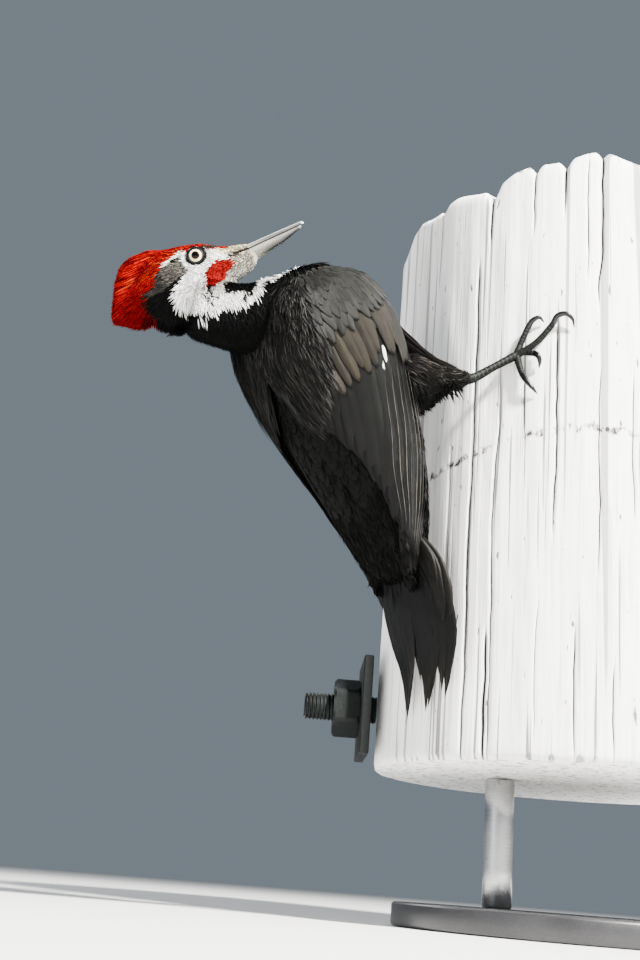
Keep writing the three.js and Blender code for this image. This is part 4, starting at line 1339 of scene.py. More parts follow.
def tail_feathers():
    rng = np.random.default_rng(41)
    rows, columns = 30, 9
    part = np.linspace(0, 1, rows)
    spines, facings, halves, colours, charts = ([] for _ in range(5))
    # Place across the fan in the middle and at the tip, order from the top, and reach of the tip.
    plan = [(-0.17, -0.56, 0, 0.82), (0.17, 0.18, 0.4, 0.96), (-0.36, -0.78, 1, 0.92), (0.36, 0.34, 1.2, 0.88),
            (-0.54, -0.93, 2, 0.995), (0.54, 0.22, 2.2, 0.94), (-0.74, -1.0, 3, 0.95), (0.72, 0.80, 3.2, 0.86),
            (-0.92, -1.04, 4, 0.90), (1.02, 0.93, 4.2, 0.895), (-0.10, -0.16, 3.6, 0.80)]
    for across, aim, order, reach in plan:
        along = 0.05 + (reach - 0.05) * part
        wander = across * (0.75 + 0.25 * np.clip(part * 2.4, 0, 1)) + (aim - across) * part**4
        lift = TAIL_THICK * (1.5 - 0.8 * along) + 0.5 - order * 0.42
        spine = tail_place(along, wander, lift)
        beside = tail_place(along, wander + 0.02, lift)
        width = vane_width(part, 6.4, root=0.8, shoulder=0.20, point=0.66, blunt=0.9)
        width = width * (1 + 0.05 * rng.normal(0, 1, rows) * (part > 0.5))
        worn = part_of(part - 0.74, 0.10) * 0.55
        spines.append(spine)
        facings.append(-facing_of(spine, beside))
        halves.append(width)
        streak = rng.uniform(0.6, 1.4, (1, columns))
        streak = streak * np.interp(np.abs(np.linspace(-1, 1, columns)), (0, 0.7, 1), (0.8, 1.0, 1.5))
        colours.append(mix(TAIL_BLACK, WORN_BROWN, worn)[:, None] * streak[..., None])
        charts.append((across * 0.45 + 0.5, 0.3))
    spine, facing, half, colour = map(np.array, (spines, facings, halves, colours))
    facing = facing * np.sign(facing[..., 0].mean())
    spine, facing, half, colour = add_shafts(spine, facing, half, colour, SHAFT_PALE * 0.5, 0.42, 0.30)
    chart = np.concatenate([charts, np.array(charts) + (0.01, 0)])
    return spine, facing, half, colour, chart


wing_plumage = plumage("flight_feathers", contrast=0.30, spacing=5.5, bump=0.00010, roughness=0.46,
                       Specular_IOR_Level=0.09)
tail = weave_coat("tail_feathers", *tail_feathers(), wing_plumage, "plumage_wing", columns=9, camber=0.10, seed=5)
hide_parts("tail")


def tail_coverts():
    """Long soft vanes over the root of the fan, furthest down on its right side."""
    rng = np.random.default_rng(43)
    rows, columns = 16, 7
    part = np.linspace(0, 1, rows)
    across = np.repeat(np.linspace(-0.98, 1.12, 12), 3) + rng.normal(0, 0.03, 36)
    layer = np.tile([0, 1, 2], 12)
    tip = np.interp(across, (-1, -0.6, 0, 0.6, 1.0, 1.2), (0.44, 0.46, 0.34, 0.40, 0.56, 0.52)) - 0.09 * layer
    tip += rng.uniform(-0.02, 0.02, 36)
    along = np.clip((tip - 0.42)[:, None] * (1 - part) + tip[:, None] * part, -0.04, 1)
    spread = across[:, None] * (1.0 + 0.10 * (1 - part) * (across[:, None] > 0.6) - 0.06 * part**3)
    lift = (np.interp(across, (-1, 0, 1.2), (6.5, 3.2, 1.2)) + layer * 0.7)[:, None]
    lift = lift * np.interp(part, (0, 0.7, 1), (0.5, 1, 0.85))
    spine = tail_place(along, spread, lift)
    facing = -facing_of(spine, tail_place(along, spread + 0.02, lift))
    facing = facing * np.sign(facing[..., 0].mean())
    half = vane_width(part, 5.0, 0.7, 0.25, 0.66, 0.7)[None] * rng.uniform(0.85, 1.15, (36, 1))
    brown = part_of(across - 0.75, 0.4)[:, None, None]
    base = TAIL_BLACK * (1 - brown) + WORN_BROWN * 0.45 * brown
    colour = base[:, :, None] * rng.uniform(0.6, 1.5, (36, 1, columns, 1)) * np.ones((1, rows, 1, 1))
    return spine, facing, half, colour, np.stack([across * 0.4 + 0.5, tip], -1)


weave_coat("tail_coverts", *tail_coverts(), wing_plumage, "plumage_black", columns=7, camber=0.12, seed=6)


# ---------------- wings
# Folded wings lie over the back. Long dark flight feathers run to the tip in layers, the
# innermost on top; rows of rounded coverts shingle down to them, the lowest row worn brown.
# Place along the wing, breast and spine edges in degrees round the trunk, and thickness.
WING_STATIONS = np.array([
    (0.03, 57, 47, 1.2), (0.14, 82, 55, 1.8), (0.29, 100, 60, 2.4), (0.43, 113, 50, 3.4), (0.57, 118, 34, 5),
    (0.71, 122, 22, 6.5), (0.85, 112, 22, 6.5), (0.96, 86, 40, 3),
])
WING_ROOT_LIFT = 0.56
PRIMARIES = 9
WING_SLATE = np.array([0.0045, 0.0046, 0.0043])
COVERT_GREY = np.array([0.0110, 0.0112, 0.0098])
COVERT_BROWN = np.array([0.0115, 0.0092, 0.0062])
FLIGHT_BLACK = np.array([0.0012, 0.0013, 0.0012])


def through_values(values, t):
    """Smooth values at t (0 to 1) through evenly spaced ones."""
    values = np.asarray(values, float)
    spot = np.clip(t, 0, 1) * (len(values) - 1)
    cell = np.minimum(spot.astype(int), len(values) - 2)
    w = spot - cell
    a, b = values[np.maximum(cell - 1, 0)], values[cell]
    c, d = values[cell + 1], values[np.minimum(cell + 2, len(values) - 1)]
    leave, reach = (c - a) / 2, (d - b) / 2
    return b + leave * w + (3 * (c - b) - 2 * leave - reach) * w**2 + (2 * (b - c) + leave + reach) * w**3


def wing_place(along, over, lift):
    """A place on the folded right wing: 0 tip to 1 shoulder, 0 breast edge to 1 spine edge."""
    along, over = np.broadcast_arrays(np.asarray(along, float), np.asarray(over, float))
    edges = curve_through(WING_STATIONS[:, 1:], along)
    t = np.maximum(through_values(WING_STATIONS[:, 0], along), 0)
    angle = np.radians(edges[..., 0] + (edges[..., 1] - edges[..., 0]) * over)
    swell = np.sin(np.pi * np.clip(0.22 + over * 0.78, 0, 1)) ** 0.6
    return trunk_form.at(t, angle, WING_ROOT_LIFT + 0.9 + edges[..., 2] * swell + lift)


def wing_widths():
    along = np.linspace(0, 1, 101)
    lines = wing_place(along[:, None], np.linspace(0, 1, 21)[None], 0)
    return along, np.linalg.norm(np.diff(lines, axis=1), axis=-1).sum(1)


width_along, width_of_wing = wing_widths()


def wing_lines(along, over, lift):
    """Spines and outward normals for lines given on the wing."""
    spine = wing_place(along, over, lift)
    above = wing_place(along, over, lift + 1.0)
    return spine, level_with(unit(above - spine), unit(np.gradient(spine, axis=1)))


def flight_feathers(side, seed):
    rng = np.random.default_rng(seed)
    rows, columns = 34, 9
    part = np.linspace(0, 1, rows)
    across = np.linspace(-1, 1, columns)
    along, over, lift, half, colour, chart = ([] for _ in range(6))
    # Distance back from the leading edge, of the visible outer edge of each feather.
    edges = np.concatenate([np.arange(PRIMARIES) * 2.1, 19 + np.arange(9) * 6.2])
    for order, edge in enumerate(edges):
        primary = order < PRIMARIES
        full = 5.2 if primary else 8.2
        middle = edge + full * (0.75 if primary else 0.65)
        fits = width_of_wing[:55] > middle * (0.55 if primary else 0.86)
        tip = width_along[:55][fits][0] if fits.any() else 0.45
        tip = np.clip(tip + rng.uniform(-0.006, 0.006), 0.004 * order, 0.5)
        if order < 2:
            tip = 0.22 - 0.1 * order
        start = 0.72 if primary else 0.70
        line = start + (tip - start) * part
        back = middle * (1 - (0.45 if primary else 0.10) * part**2)
        width = np.interp(line, width_along, width_of_wing)
        along.append(line)
        over.append(np.clip(back / np.maximum(width, 2), 0, 0.99))
        lift.append(-1.3 + order * 0.13 + 0.15 * part)
        shape = vane_width(part, full, root=0.8, shoulder=0.2, point=0.84, blunt=0.6)
        half.append(np.minimum(shape, np.maximum(width * 0.5, 2.2)))
        # Painted highlight along the leading edge, painted shade where the next feather covers it, streaked between.
        edge_highlight_and_shade = np.interp(across, (-1, -0.72, -0.5, 0.6, 1), (5.0 if primary else 2.4, 1.6, 1.0, 0.8, 0.45))
        streak = edge_highlight_and_shade * rng.uniform(0.5, 1.8, columns)
        worn = part_of(part - 0.93, 0.05) * 0.3
        colour.append(mix(FLIGHT_BLACK * rng.uniform(0.8, 1.25), WORN_BROWN, worn)[:, None] * streak[:, None])
        chart.append((0.5, min(middle / 80, 0.98)))
    along, over, lift, half, colour = map(np.array, (along, over, lift, half, colour))
    spine, facing = wing_lines(along, over, lift)
    shafts = mix(SHAFT_PALE, FLIGHT_BLACK * 2.5, (np.arange(len(edges)) >= PRIMARIES) * 0.8)[:, None, None]
    spine, facing, half, colour = add_shafts(
        spine, facing, half, colour, np.broadcast_to(shafts, colour.shape), 0.30, 0.30, -0.55)
    chart = np.array(chart * 2)
    return mirrored(spine, facing, side), half, colour[:, :, ::side], chart


def mirrored(spine, facing, side):
    flip = np.array([1, side, 1])
    return spine * flip, facing * flip


# Rows of coverts: place of the tips along the wing (at breast edge, at spine edge), length
# along the wing, how many, half width in mm, lift of root and tip, how far over, and colour.
COVERT_ROWS = [
    (0.602, 0.612, 0.12, 2, 1.7, -0.2, 1.3, (0.30, 0.38), "patch"),
    (0.640, 0.572, 0.19, 13, 4.2, 0.0, 1.9, (0.14, 0.95), "greater"),
    (0.605, 0.590, 0.20, 4, 3.4, 0.3, 2.0, (0.00, 0.17), "edge"),
    (0.760, 0.655, 0.11, 13, 4.6, 0.5, 2.3, (0.0, 0.95), "median"),
    (0.775, 0.695, 0.10, 14, 4.2, 0.7, 2.3, (0.0, 0.95), "median"),
    (0.795, 0.735, 0.09, 15, 3.8, 0.7, 2.3, (0.0, 0.92), "lesser"),
    (0.815, 0.788, 0.08, 16, 3.5, 0.6, 2.1, (0.0, 0.92), "lesser"),
    (0.842, 0.822, 0.08, 16, 3.3, 0.5, 2.0, (0.0, 0.94), "lesser"),
    (0.868, 0.855, 0.075, 15, 3.1, 0.4, 1.8, (0.0, 0.96), "lesser"),
    (0.893, 0.884, 0.07, 14, 2.9, 0.3, 1.6, (0.0, 0.98), "lesser"),
    (0.917, 0.912, 0.065, 12, 2.7, 0.3, 1.4, (0.0, 1.0), "lesser"),
    (0.940, 0.938, 0.06, 10, 2.6, 0.2, 1.3, (0.0, 1.0), "lesser"),
    (0.962, 0.962, 0.05, 8, 2.6, 0.1, 1.1, (0.0, 1.0), "lesser"),
]
COVERT_COLOURS = {"patch": WHITE * 0.95, "greater": COVERT_BROWN, "edge": COVERT_BROWN * 0.45, "median": COVERT_GREY,
                  "lesser": COVERT_GREY * 0.75}


def coverts(side, seed):
    rng = np.random.default_rng(seed)
    rows, columns = 14, 9
    part = np.linspace(0, 1, rows)
    across = np.linspace(-1, 1, columns)
    along, over, lift, half, colour, chart = ([] for _ in range(6))
    for tip_breast, tip_spine, length, count, wide, low, high, (first, last_over), kind in COVERT_ROWS:
        for number in range(count):
            share = (number + 0.5 + rng.uniform(-0.16, 0.16)) / count
            place = first + (last_over - first) * share
            tip = tip_breast + (tip_spine - tip_breast) * share + rng.uniform(-0.018, 0.018)
            reach = length * rng.uniform(0.92, 1.08)
            along.append(np.minimum(tip + reach * (1 - part), 1.0))
            over.append(place + 0.02 * (1 - part) * rng.normal() + 0.012 * part * rng.normal())
            lift.append(low + (high - low) * part - 0.30 * (part > 0.95) + number * 0.02)
            point, blunt = (0.50, 0.75) if kind in ("lesser", "median") else (0.70, 0.5)
            half.append(vane_width(part, wide * rng.uniform(0.90, 1.15), 0.5, 0.3, point, blunt))
            base = COVERT_COLOURS[kind] * rng.uniform(0.80, 1.15)
            if kind != "patch":
                base = mix(base, WING_SLATE, rng.uniform(0.0, 0.45))
            # Painted shade: each covert darkened along its tip and both edges, where it meets its neighbours.
            rim = np.exp(-((part - 1.0) / 0.06) ** 2)[:, None] * 0.8
            edge = np.maximum(rim, 0.60 * np.abs(across)[None] ** 4) * (kind != "patch")
            wash = rng.uniform(0.75, 1.25, columns) * (1.12 - 0.3 * across)
            colour.append(base * (wash * (1 - edge))[..., None])
            chart.append((place, tip))
    along, over, lift, half, colour = map(np.array, (along, over, lift, half, colour))
    spine, facing = wing_lines(along, over, lift)
    return mirrored(spine, facing, side), half, colour[:, :, ::side], np.array(chart)


# Painted highlights: lit edges of the longest feathers, as thin pale lines: places along and over the wing.
HIGHLIGHT_LINES = [[(0.85, 0.12), (0.80, 0.12), (0.75, 0.09), (0.70, 0.05)],
              [(0.74, 0.12), (0.68, 0.09), (0.62, 0.05), (0.56, 0.03)]]
HIGHLIGHT_FAN = np.array([[(0.61, 0.36), (0.49, 0.50), (0.38, 0.70), (0.27, 0.82)],
                     [(0.57, 0.04), (0.45, 0.05), (0.30, 0.09), (0.14, 0.20)]])


def edge_highlights(side, seed):
    rng = np.random.default_rng(seed)
    part = np.linspace(0, 1, 26)
    fan = [(1 - k) * HIGHLIGHT_FAN[0] + k * HIGHLIGHT_FAN[1] for k in (0, 0.16, 0.33, 0.45, 0.62, 0.76, 0.88, 1)]
    places = np.array([curve_through(line, part) for line in HIGHLIGHT_LINES + fan])
    count = len(places)
    lift = np.array([2.9, 2.6] + [1.5] * len(fan))[:, None] + 0 * part
    spine, facing = wing_lines(places[..., 0], places[..., 1], lift)
    half = rng.uniform(0.16, 0.30, (count, 1)) * np.sin(np.pi * np.clip(part, 0.04, 0.98)) ** 0.5
    bright = rng.uniform(0.25, 1.3, (count, 1, 1)) * rng.uniform(0.5, 1.2, (count, 26, 1))
    colour = SHAFT_PALE * (1.35, 1.4, 1.5) * bright
    return mirrored(spine, facing, side), half, colour, places[:, 0, ::-1]


def scapulars(side, seed, count, length, wide, low, high, light):
    """Loose streaky feathers over the wing's inner part, where it tucks under the back; a share carry painted
    highlights, and each has painted shade at its root.
    """
    rng = np.random.default_rng(seed)
    rows = 9
    part = np.linspace(0, 1, rows)
    place = rng.uniform(0.68, 1.22, count)
    tip = rng.uniform(np.interp(place, (0.68, 0.80, 1.0, 1.22), (0.66, 0.58, 0.53, 0.50)), 0.93)
    reach = length * rng.uniform(0.8, 1.25, count)
    along = np.minimum(tip[:, None] + reach[:, None] * (1 - part), 0.985)
    over = place[:, None] + rng.normal(0, 0.03, (count, 1)) * part + 0.02 * part
    lift = low + (high - low) * part**1.3 * rng.uniform(0.6, 1.3, (count, 1))
    half = taper(rows, wide * 0.7, wide, wide * 0.12, count, rng)
    spine, facing = wing_lines(along, over, lift)
    colour = np.tile(BODY_BLACK, (count, 1)) * rng.uniform(1.0, 3.0, (count, 1))
    # Painted highlights: a share of the feathers made lighter and warmer.
    lit = rng.random(count) < light
    colour[lit] = colour[lit] * rng.uniform(3.0, 12.0, (lit.sum(), 1)) * (1.05, 1, 0.93)
    # Painted shade at the root, lighter to the tip.
    gain = np.interp(part, (0, 0.6, 1), (0.5, 1.0, 1.25))
    return mirrored(spine, facing, side), half, colour[:, None] * gain[:, None], np.stack([place * 0.75, tip], -1)


for side, name in ((-1, "left"), (1, "right")):
    for title, (laid, half, colour, chart), columns in (
        ("flight_feathers", flight_feathers(side, 60), 9),
        ("wing_coverts", coverts(side, 70), 9),
        ("feather_edge_highlights", edge_highlights(side, 71), 3),
        ("scapulars", scapulars(side, 72, 260, 0.13, 2.4, 0.8, 3.2, 0.30), 5),
        ("scapular_streaks", scapulars(side, 73, 1500, 0.075, 0.42, 2.6, 4.4, 0.30), 3),
    ):
        weave_coat(f"{title}_{name}", *laid, half, colour, chart, wing_plumage, "plumage_wing",
                   columns=columns, camber=0.12, seed=7)


# ---------------- body, thighs, neck and head
# The small feathers. Broad soft vanes cover the back and breast, loose fluff the thighs and
# belly, and fine pointed tufts the neck and face, longest in the crest.
face_owner = skin_owner[skin_faces[:, 0]]
face_middle = bed_points[skin_faces].mean(1)
face_head = to_head(face_middle)


def tone(colour, rng, spread):
    return colour * np.clip(rng.normal(1, spread, (len(colour), 1)), 0.4, 1.8)


def shade_along(colour, rows, root=0.55, tip=1.1):
    """Painted shade: darker at the root, where the coat above covers it, lighter to the tip."""
    gain = np.interp(np.linspace(0, 1, rows), (0, 0.6, 1), (root, 1.0, tip))
    return colour[:, None] * gain[None, :, None]


body_plumage = plumage("body_feathers", contrast=0.22, spacing=6.0, bump=0.00006, roughness=0.6,
                       Specular_IOR_Level=0.05)
tuft_plumage = plumage("soft_tufts", contrast=0.0, bump=0.00002, roughness=0.65, Specular_IOR_Level=0.04)


def chart_round(form, places):
    t, angle = form.find(places)
    return np.stack([angle / (2 * math.pi) + 0.5, t], -1)


def chart_head(places):
    u, y, v = to_head(places).T
    return np.stack([np.arctan2(y, v + 4) / (2 * math.pi) + 0.5, part_of(u + 95, 120)], -1)


def body_vanes(name, keep, density, length, half_width, rise, seed, chart, finish=body_plumage, slot="plumage_black",
               rows=7, columns=5, spread=0.18, hold=(1, 0.9)):
    rng = np.random.default_rng(seed)
    places, normals, vertex = scatter(keep, density, seed)
    size = rng.uniform(0.8, 1.2, len(places))
    spine, facing = lay_down(places, normals, vertex, length * size, rise * rng.uniform(0.6, 1.3, len(places)), rows,
                             hold, 0.16, seed)
    part = np.linspace(0, 1, rows)
    half = vane_width(part, half_width, 0.45, 0.35, 0.6, 0.55)[None] * size[:, None]
    colour = tone(marking(places, skin_owner[vertex], 0.6, seed), rng, spread)
    return weave_coat(name, spine, facing, half, shade_along(colour, rows, 0.6, 0.9), chart(places), finish, slot,
                      columns=columns, camber=0.16, seed=seed)


def tufts(name, keep, density, length, half_width, rise, seed, chart, finish=tuft_plumage, slot="plumage_black",
          rows=5, hold=(1, 0.85), stray=0.12, ragged=0.5, spread=0.14, columns=3, root=0.55, tip=1.1, streak=None,
          pull=(0, 0, 0)):
    rng = np.random.default_rng(seed)
    places, normals, vertex = scatter(keep, density, seed)
    size = length(places, vertex, rng) if callable(length) else length * rng.uniform(0.7, 1.25, len(places))
    spine, facing = lay_down(places, normals, vertex, size, rise * rng.uniform(0.5, 1.4, len(places)), rows,
                             hold, stray, seed, pull)
    half = taper(rows, half_width * 0.7, half_width, half_width * 0.1, len(places), rng)
    colour = tone(marking(places, skin_owner[vertex], ragged, seed), rng, spread)
    if streak is not None:
        colour = streak(colour, places, rng)
    return weave_coat(name, spine, facing, half, shade_along(colour, rows, root, tip), chart(places), finish, slot,
                      columns=columns, camber=0.45, seed=seed)


chart_trunk = lambda places: chart_round(trunk_form, places)
chart_neck = lambda places: chart_round(neck_form, places)
on_trunk = face_owner == TRUNK
collar = on_trunk & (face_head[:, 0] > -8) & (face_head[:, 0] < 48)
collar &= (face_head[:, 2] > -36) & (face_middle[:, 1] > 0)
body_vanes("back_and_breast_feathers", on_trunk & ~collar, 0.050, 17, 4.4, 1.8, 101, chart_trunk)
on_wings = np.isin(face_owner, (LEFT_WING, RIGHT_WING))
body_vanes("wing_down", on_wings & (face_middle[:, 2] > 250), 0.030, 12, 3.2, 0.5, 102, chart_trunk)


# Painted highlights: a share of strands made lighter, more of them higher up the back.
def highlight_streaks(colour, places, rng):
    high = np.interp(places[:, 2], (290, 345), (0.04, 0.22))
    lighter = rng.random(len(colour)) < high
    colour[lighter] = colour[lighter] * rng.uniform(3.0, 11.0, (lighter.sum(), 1))
    return colour


# The back's strands, some with painted highlights.
tufts("back_streaks", on_trunk, 0.141, 11, 0.55, 2.2, 103, chart_trunk, streak=highlight_streaks, stray=0.2)


def thigh_chart(side):
    start, end = thigh_line[0] * (1, side, 1), thigh_line[-1] * (1, side, 1)
    way = unit(end - start)

    def chart(places):
        away = places - start
        t = (away * way).sum(-1) / np.linalg.norm(end - start)
        away = away - way * (away * way).sum(-1, keepdims=True)
        return np.stack([np.arctan2(away[:, 1], away[:, 2]) / (2 * math.pi) + 0.5, np.clip(t * 0.7 + 0.3, 0, 1)], -1)

    return chart


def thigh_length(places, vertex, rng):
    """Short at the heel, longest and hanging loose along the lower edge."""
    heel_distance = np.linalg.norm(np.abs(places) - FEATHER_END, axis=1)
    hanging = np.clip(-bed_normals[vertex, 2], 0, 1)
    return np.clip(heel_distance * (0.20 + 0.18 * hanging), 5.0, 15) * rng.uniform(0.65, 1.25, len(places))


def thigh_light_and_shade(colour, places, rng):
    """Painted light: brown where the light falls on top of the thigh, black below, and a few strands with painted
    highlights.
    """
    middle = np.interp(places[:, 0], (166, 196, 210), (337, 334, 330))
    top = np.interp(places[:, 2] - middle, (-6, 12), (0, 1))[:, None]
    colour = colour * (1 - top) + np.array([0.0046, 0.0040, 0.0034]) * top * rng.uniform(0.5, 1.6, (len(colour), 1))
    return highlight_streaks(colour, places, rng)


for number, side, name in ((LEFT_THIGH, -1, "left"), (RIGHT_THIGH, 1, "right")):
    tufts(f"thigh_fluff_{name}", face_owner == number, 0.85, thigh_length, 0.50, 1.6, 110 + number, thigh_chart(side),
          hold=(1, 0.5), stray=0.18, streak=thigh_light_and_shade)

# Flank feathers sweep from under the edge of the wing, over the top of the thigh, to the heel.
FLANK_TOP = [(219, 30, 375.3), (210.1, 32, 367.7), (199.5, 36, 359.2), (184.6, 41, 350.4), (173.4, 44, 347.3),
             (164.8, 46.5, 344.2)]
FLANK_FOOT = [(208.6, 27, 356.4), (203.8, 30, 347.8), (195.8, 35, 341.7), (183.8, 41, 338), (172.9, 44, 338.3),
              (165.4, 46.5, 338.9)]


def flank_feathers(side, seed, count, rows, half_width, share, lift):
    """Vanes fanned between the outline of the flank and the thigh; each covers a share of the run."""
    rng = np.random.default_rng(seed)
    part = np.linspace(0, 1, rows)
    drop = rng.random(count) ** 0.9
    start = rng.uniform(0, 1 - share, count)
    run = start[:, None] + share * rng.uniform(0.8, 1.0, (count, 1)) * part
    top, foot_line = curve_through(FLANK_TOP, run), curve_through(FLANK_FOOT, run)
    spine = top + (foot_line - top) * (drop[:, None] + 0.03 * rng.normal(size=(count, 1)) * part)[..., None]
    ahead = unit(np.gradient(spine, axis=1))
    facing = unit(np.array([0.25, 1.0, 0.15]) + np.array([0, 0, 0.7]) * (1 - drop)[:, None, None])
    facing = level_with(facing, ahead)
    spine = spine + facing * (lift * rng.uniform(0, 1, (count, 1)))[..., None] - facing * 1.5
    half = taper(rows, half_width * 0.8, half_width, half_width * 0.12, count, rng)
    colour = np.array([0.0062, 0.0053, 0.0044]) * rng.uniform(0.3, 1.6, (count, 1)) * (1 - 0.4 * drop[:, None])
    chart = np.stack([drop, start], -1) * 0.5
    return (*mirrored(spine, facing, side), half, shade_along(colour, rows), chart)


for side, name in ((-1, "left"), (1, "right")):
    *laid, chart = flank_feathers(side, 115, 150, 10, 2.2, 0.62, 1.2)
    weave_coat(f"flank_feathers_{name}", *laid, chart, body_plumage, "plumage_black", columns=5, camber=0.2, seed=115)
    *laid, chart = flank_feathers(side, 116, 900, 6, 0.45, 0.26, 2.2)
    weave_coat(f"flank_tufts_{name}", *laid, chart, tuft_plumage, "plumage_black", columns=3, camber=0.4, seed=116)

belly = on_trunk & (face_middle[:, 0] < 222) & (face_middle[:, 2] < 350)
tufts("belly_fluff", belly, 0.328, 16, 0.6, 4.0, 120, chart_trunk, hold=(1, 0.25), stray=0.28)

# A loose fringe hangs from the underside of the thighs and the flank.
face_down = bed_normals[skin_faces[:, 0], 2] < -0.15
fringe = face_down & (face_middle[:, 2] > 296) & (face_middle[:, 2] < 345) & (face_middle[:, 0] < 236)
fringe &= (face_middle[:, 0] > 176) & np.isin(face_owner, (TRUNK, LEFT_THIGH, RIGHT_THIGH))
tufts("flank_fringe", fringe, 0.40, 16, 0.6, 2.0, 125, chart_trunk, hold=(0.6, 0.0), stray=0.22, pull=(0, 0, -1.3))

on_neck = face_owner == NECK


def neck_length(places, vertex, rng):
    u, _, v = to_head(places).T
    length = np.interp(v, (-50, -36, -29, -24.5, -18), (14, 10.5, 7.5, 3.2, 2.6)) * np.interp(u, (0, 25), (1, 0.7))
    return length * rng.uniform(0.7, 1.25, len(u))


tufts("neck_tufts", on_neck | collar, 1.302, neck_length, 0.30, 1.5, 130, chart_neck, hold=(1, 0.4), ragged=0.6,
      stray=0.15)
under_neck = on_neck & (bed_normals[skin_faces[:, 0], 2] < -0.35)
tufts("neck_fringe", under_neck, 0.45, 10, 0.34, 1.0, 131, chart_neck, hold=(0.7, 0.0), stray=0.25, pull=(0, 0, -0.8))

eye_away = np.hypot(face_head[:, 0] - EYE_FORWARD, face_head[:, 2] - EYE_UP)
eye_clear = (eye_away > LID_REACH - 0.4) | (np.abs(face_head[:, 1]) < 6)
bill_clear = face_head[:, 0] < 9.5


def face_length(places, vertex, rng):
    u, y, v = to_head(places).T
    near_eye = np.hypot(u - EYE_FORWARD, v - EYE_UP) + 30 * (np.abs(y) < 6)
    length = np.interp(-u, (-10, 5, 25, 50), (2.6, 3.2, 4.4, 7.0))
    length = length + part_of(-v - 12, 12) * (5 + 4 * (u < -38)) + (v > 4) * part_of(-u - 46, 10) * 4
    length = np.clip(np.minimum(length, 1.4 + 0.28 * (near_eye - LID_REACH)), 1.2, 12) + 5 * ((u < -50) & (v < 2))
    return length * rng.uniform(0.7, 1.25, len(u))


def red_light_and_shade(colour, places, rng):
    """Painted highlights of orange light along the crown's lower edge and on a few brighter strands, and painted
    shade in dark gaps and deep red strands between.
    """
    u, _, v = to_head(places).T
    red = (colour[:, 0] > 0.1) & (colour[:, 1] < 0.03)
    edge = np.exp(-((v - 14 - 0.10 * (u + 40)) / 4.5) ** 2) * part_of(-u - 18, 12) * part_of(u + 62, 12)
    # Painted highlights: orange strands along the edge, and a few brighter ones.
    orange = red & (rng.random(len(colour)) < 0.30 * edge)
    colour[orange] = colour[orange] * 1.1 + (0.06, 0.024, 0.001)
    bright = red & ~orange & (rng.random(len(colour)) < 0.08)
    colour[bright] = colour[bright] * 1.3
    # Painted shade: deep red strands and dark gaps.
    deep = red & ~orange & ~bright & (rng.random(len(colour)) < 0.33)
    colour[deep] = colour[deep] * (0.42, 0.3, 0.3)
    gap = red & (v > 11) & (u > -62) & (rng.random(len(colour)) < 0.07)
    colour[gap] = colour[gap] * 0.12
    return colour


def face_streaks(colour, places, rng):
    """Stray darker and lighter strands in the ear stripe, the throat and the cream base, and painted shade on some
    white strands.
    """
    level = colour[:, 0]
    mixed = (level > 0.02) & (level < 0.5) & (colour[:, 1] > 0.02)
    low = mixed & (rng.random(len(colour)) < 0.35)
    colour[low] = colour[low] * 0.4
    high = mixed & ~low & (rng.random(len(colour)) < 0.25)
    colour[high] = colour[high] * 1.7
    # Painted shade: a share of the white strands greyed a little blue.
    shaded = (level > 0.5) & (rng.random(len(colour)) < 0.22)
    colour[shaded] = colour[shaded] * (0.52, 0.54, 0.56)
    return colour


on_head_red = inside(RED_CAP, face_head[:, 0], face_head[:, 2])
on_face = (face_owner == HEAD) & eye_clear & bill_clear
red_plumage = plumage("red_tufts", contrast=0.0, bump=0.00002, roughness=0.7, Specular_IOR_Level=0.02)
tufts("face_tufts", on_face & ~on_head_red, 1.68, face_length, 0.36, 0.7, 140, chart_head,
      rows=5, hold=(1, 0.5), stray=0.12, ragged=0.45, root=0.75, spread=0.18, streak=face_streaks)

# Longer black strands hang over the back of the head, from the crest's foot to the neck.
hind = (face_owner == HEAD) & (face_head[:, 2] < 2) & (face_head[:, 0] < -46)
tufts("nape_tufts", hind, 1.3, 13.5, 0.40, 1.5, 142, chart_head, rows=6, hold=(0.9, 0.10), stray=0.16, ragged=0.45)
tufts("crown_tufts", on_face & on_head_red, 1.9, face_length, 0.36, 0.9, 141, chart_head, red_plumage, "plumage_red",
      rows=5, hold=(1, 0.8), stray=0.10, ragged=0.45, streak=red_light_and_shade)

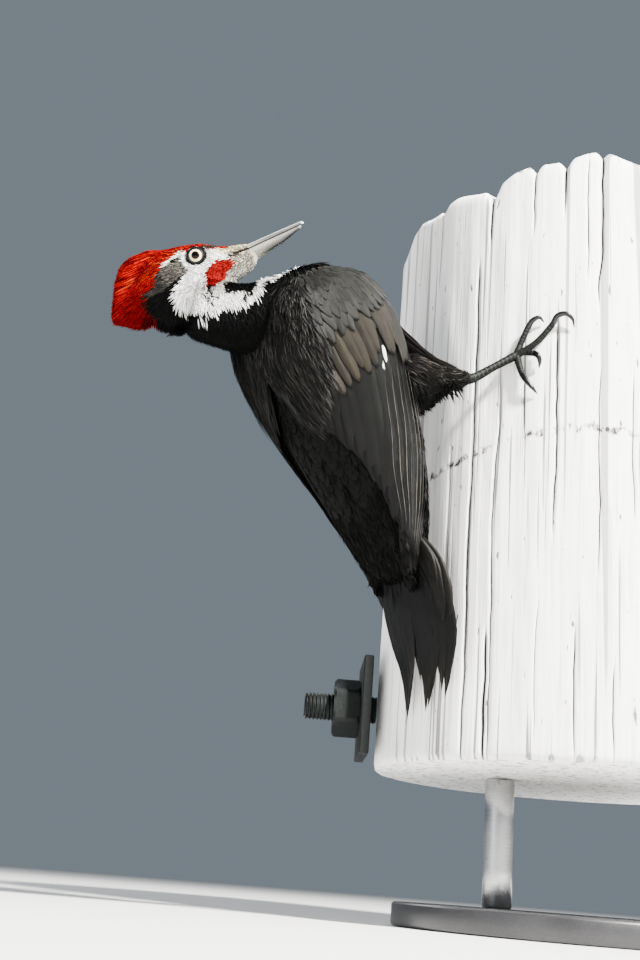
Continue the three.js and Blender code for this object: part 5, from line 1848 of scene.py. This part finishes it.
# The crest's outline: its strands stop there, in a blunt foot and a ragged hind edge.
CREST_EDGE = [(0, 14), (-10, 22), (-40, 28.5), (-57, 32.5), (-63.8, 30.5), (-72.4, 22.6), (-83.2, 10.5),
              (-90.3, -3.6), (-67, -17), (-60, -21), (-40, -10), (-20, 0)]


def crest_length(places, vertex, rng):
    """Long strands, each cut where it would pass the outline."""
    u, _, v = to_head(places).T
    way = bed_flow[vertex] @ head_turned.T
    wanted = np.interp(-u, (28, 45, 60, 72, 80), (10, 17, 20, 16, 10)) * rng.uniform(0.7, 1.25, len(u))
    length = np.full(len(u), 2.5)
    for reach in np.linspace(3, 24, 22):
        within = inside(CREST_EDGE, u + way[:, 0] * reach, v + way[:, 2] * reach)
        length = np.where(within & (wanted >= reach), reach, length)
    return length + np.abs(rng.normal(0, 0.9, len(u)))


def foot_drop(u, v):
    """How far a place stands above the straight foot of the crest and the slope of the nape."""
    return 48.4 + 0.28 * np.clip(0.866 * u - 0.5 * v + 50, 0, 40) + 0.5 * u + 0.866 * v


def foot_length(places, vertex, rng):
    u, _, v = to_head(places).T
    notch = np.exp(-((0.866 * u - 0.5 * v + 50) / 8) ** 2)
    return np.clip(foot_drop(u, v) * rng.uniform(0.85, 1.08, len(u)) * (1 + 0.4 * notch), 2.5, 15)


across_foot = 0.866 * face_head[:, 0] - 0.5 * face_head[:, 2]
foot = np.isin(face_owner, (HEAD, CREST)) & (across_foot > -74) & (across_foot < -38)
foot &= (foot_drop(face_head[:, 0], face_head[:, 2]) < 13) & (face_head[:, 0] < -48)
tufts("crest_foot", foot, 1.3, foot_length, 0.42, 0.6, 151, chart_head, red_plumage, "plumage_red", rows=5,
      hold=(0.35, 0.0), stray=0.06, ragged=0.5, streak=red_light_and_shade, pull=np.array([-1.25, 0, -2.2]) @ head_turned)
tufts("crest_tufts", face_owner == CREST, 1.5, crest_length, 0.50, 1.3, 150, chart_head, red_plumage, "plumage_red",
      rows=6, hold=(1, 0.30), stray=0.08, ragged=0.6, streak=red_light_and_shade)
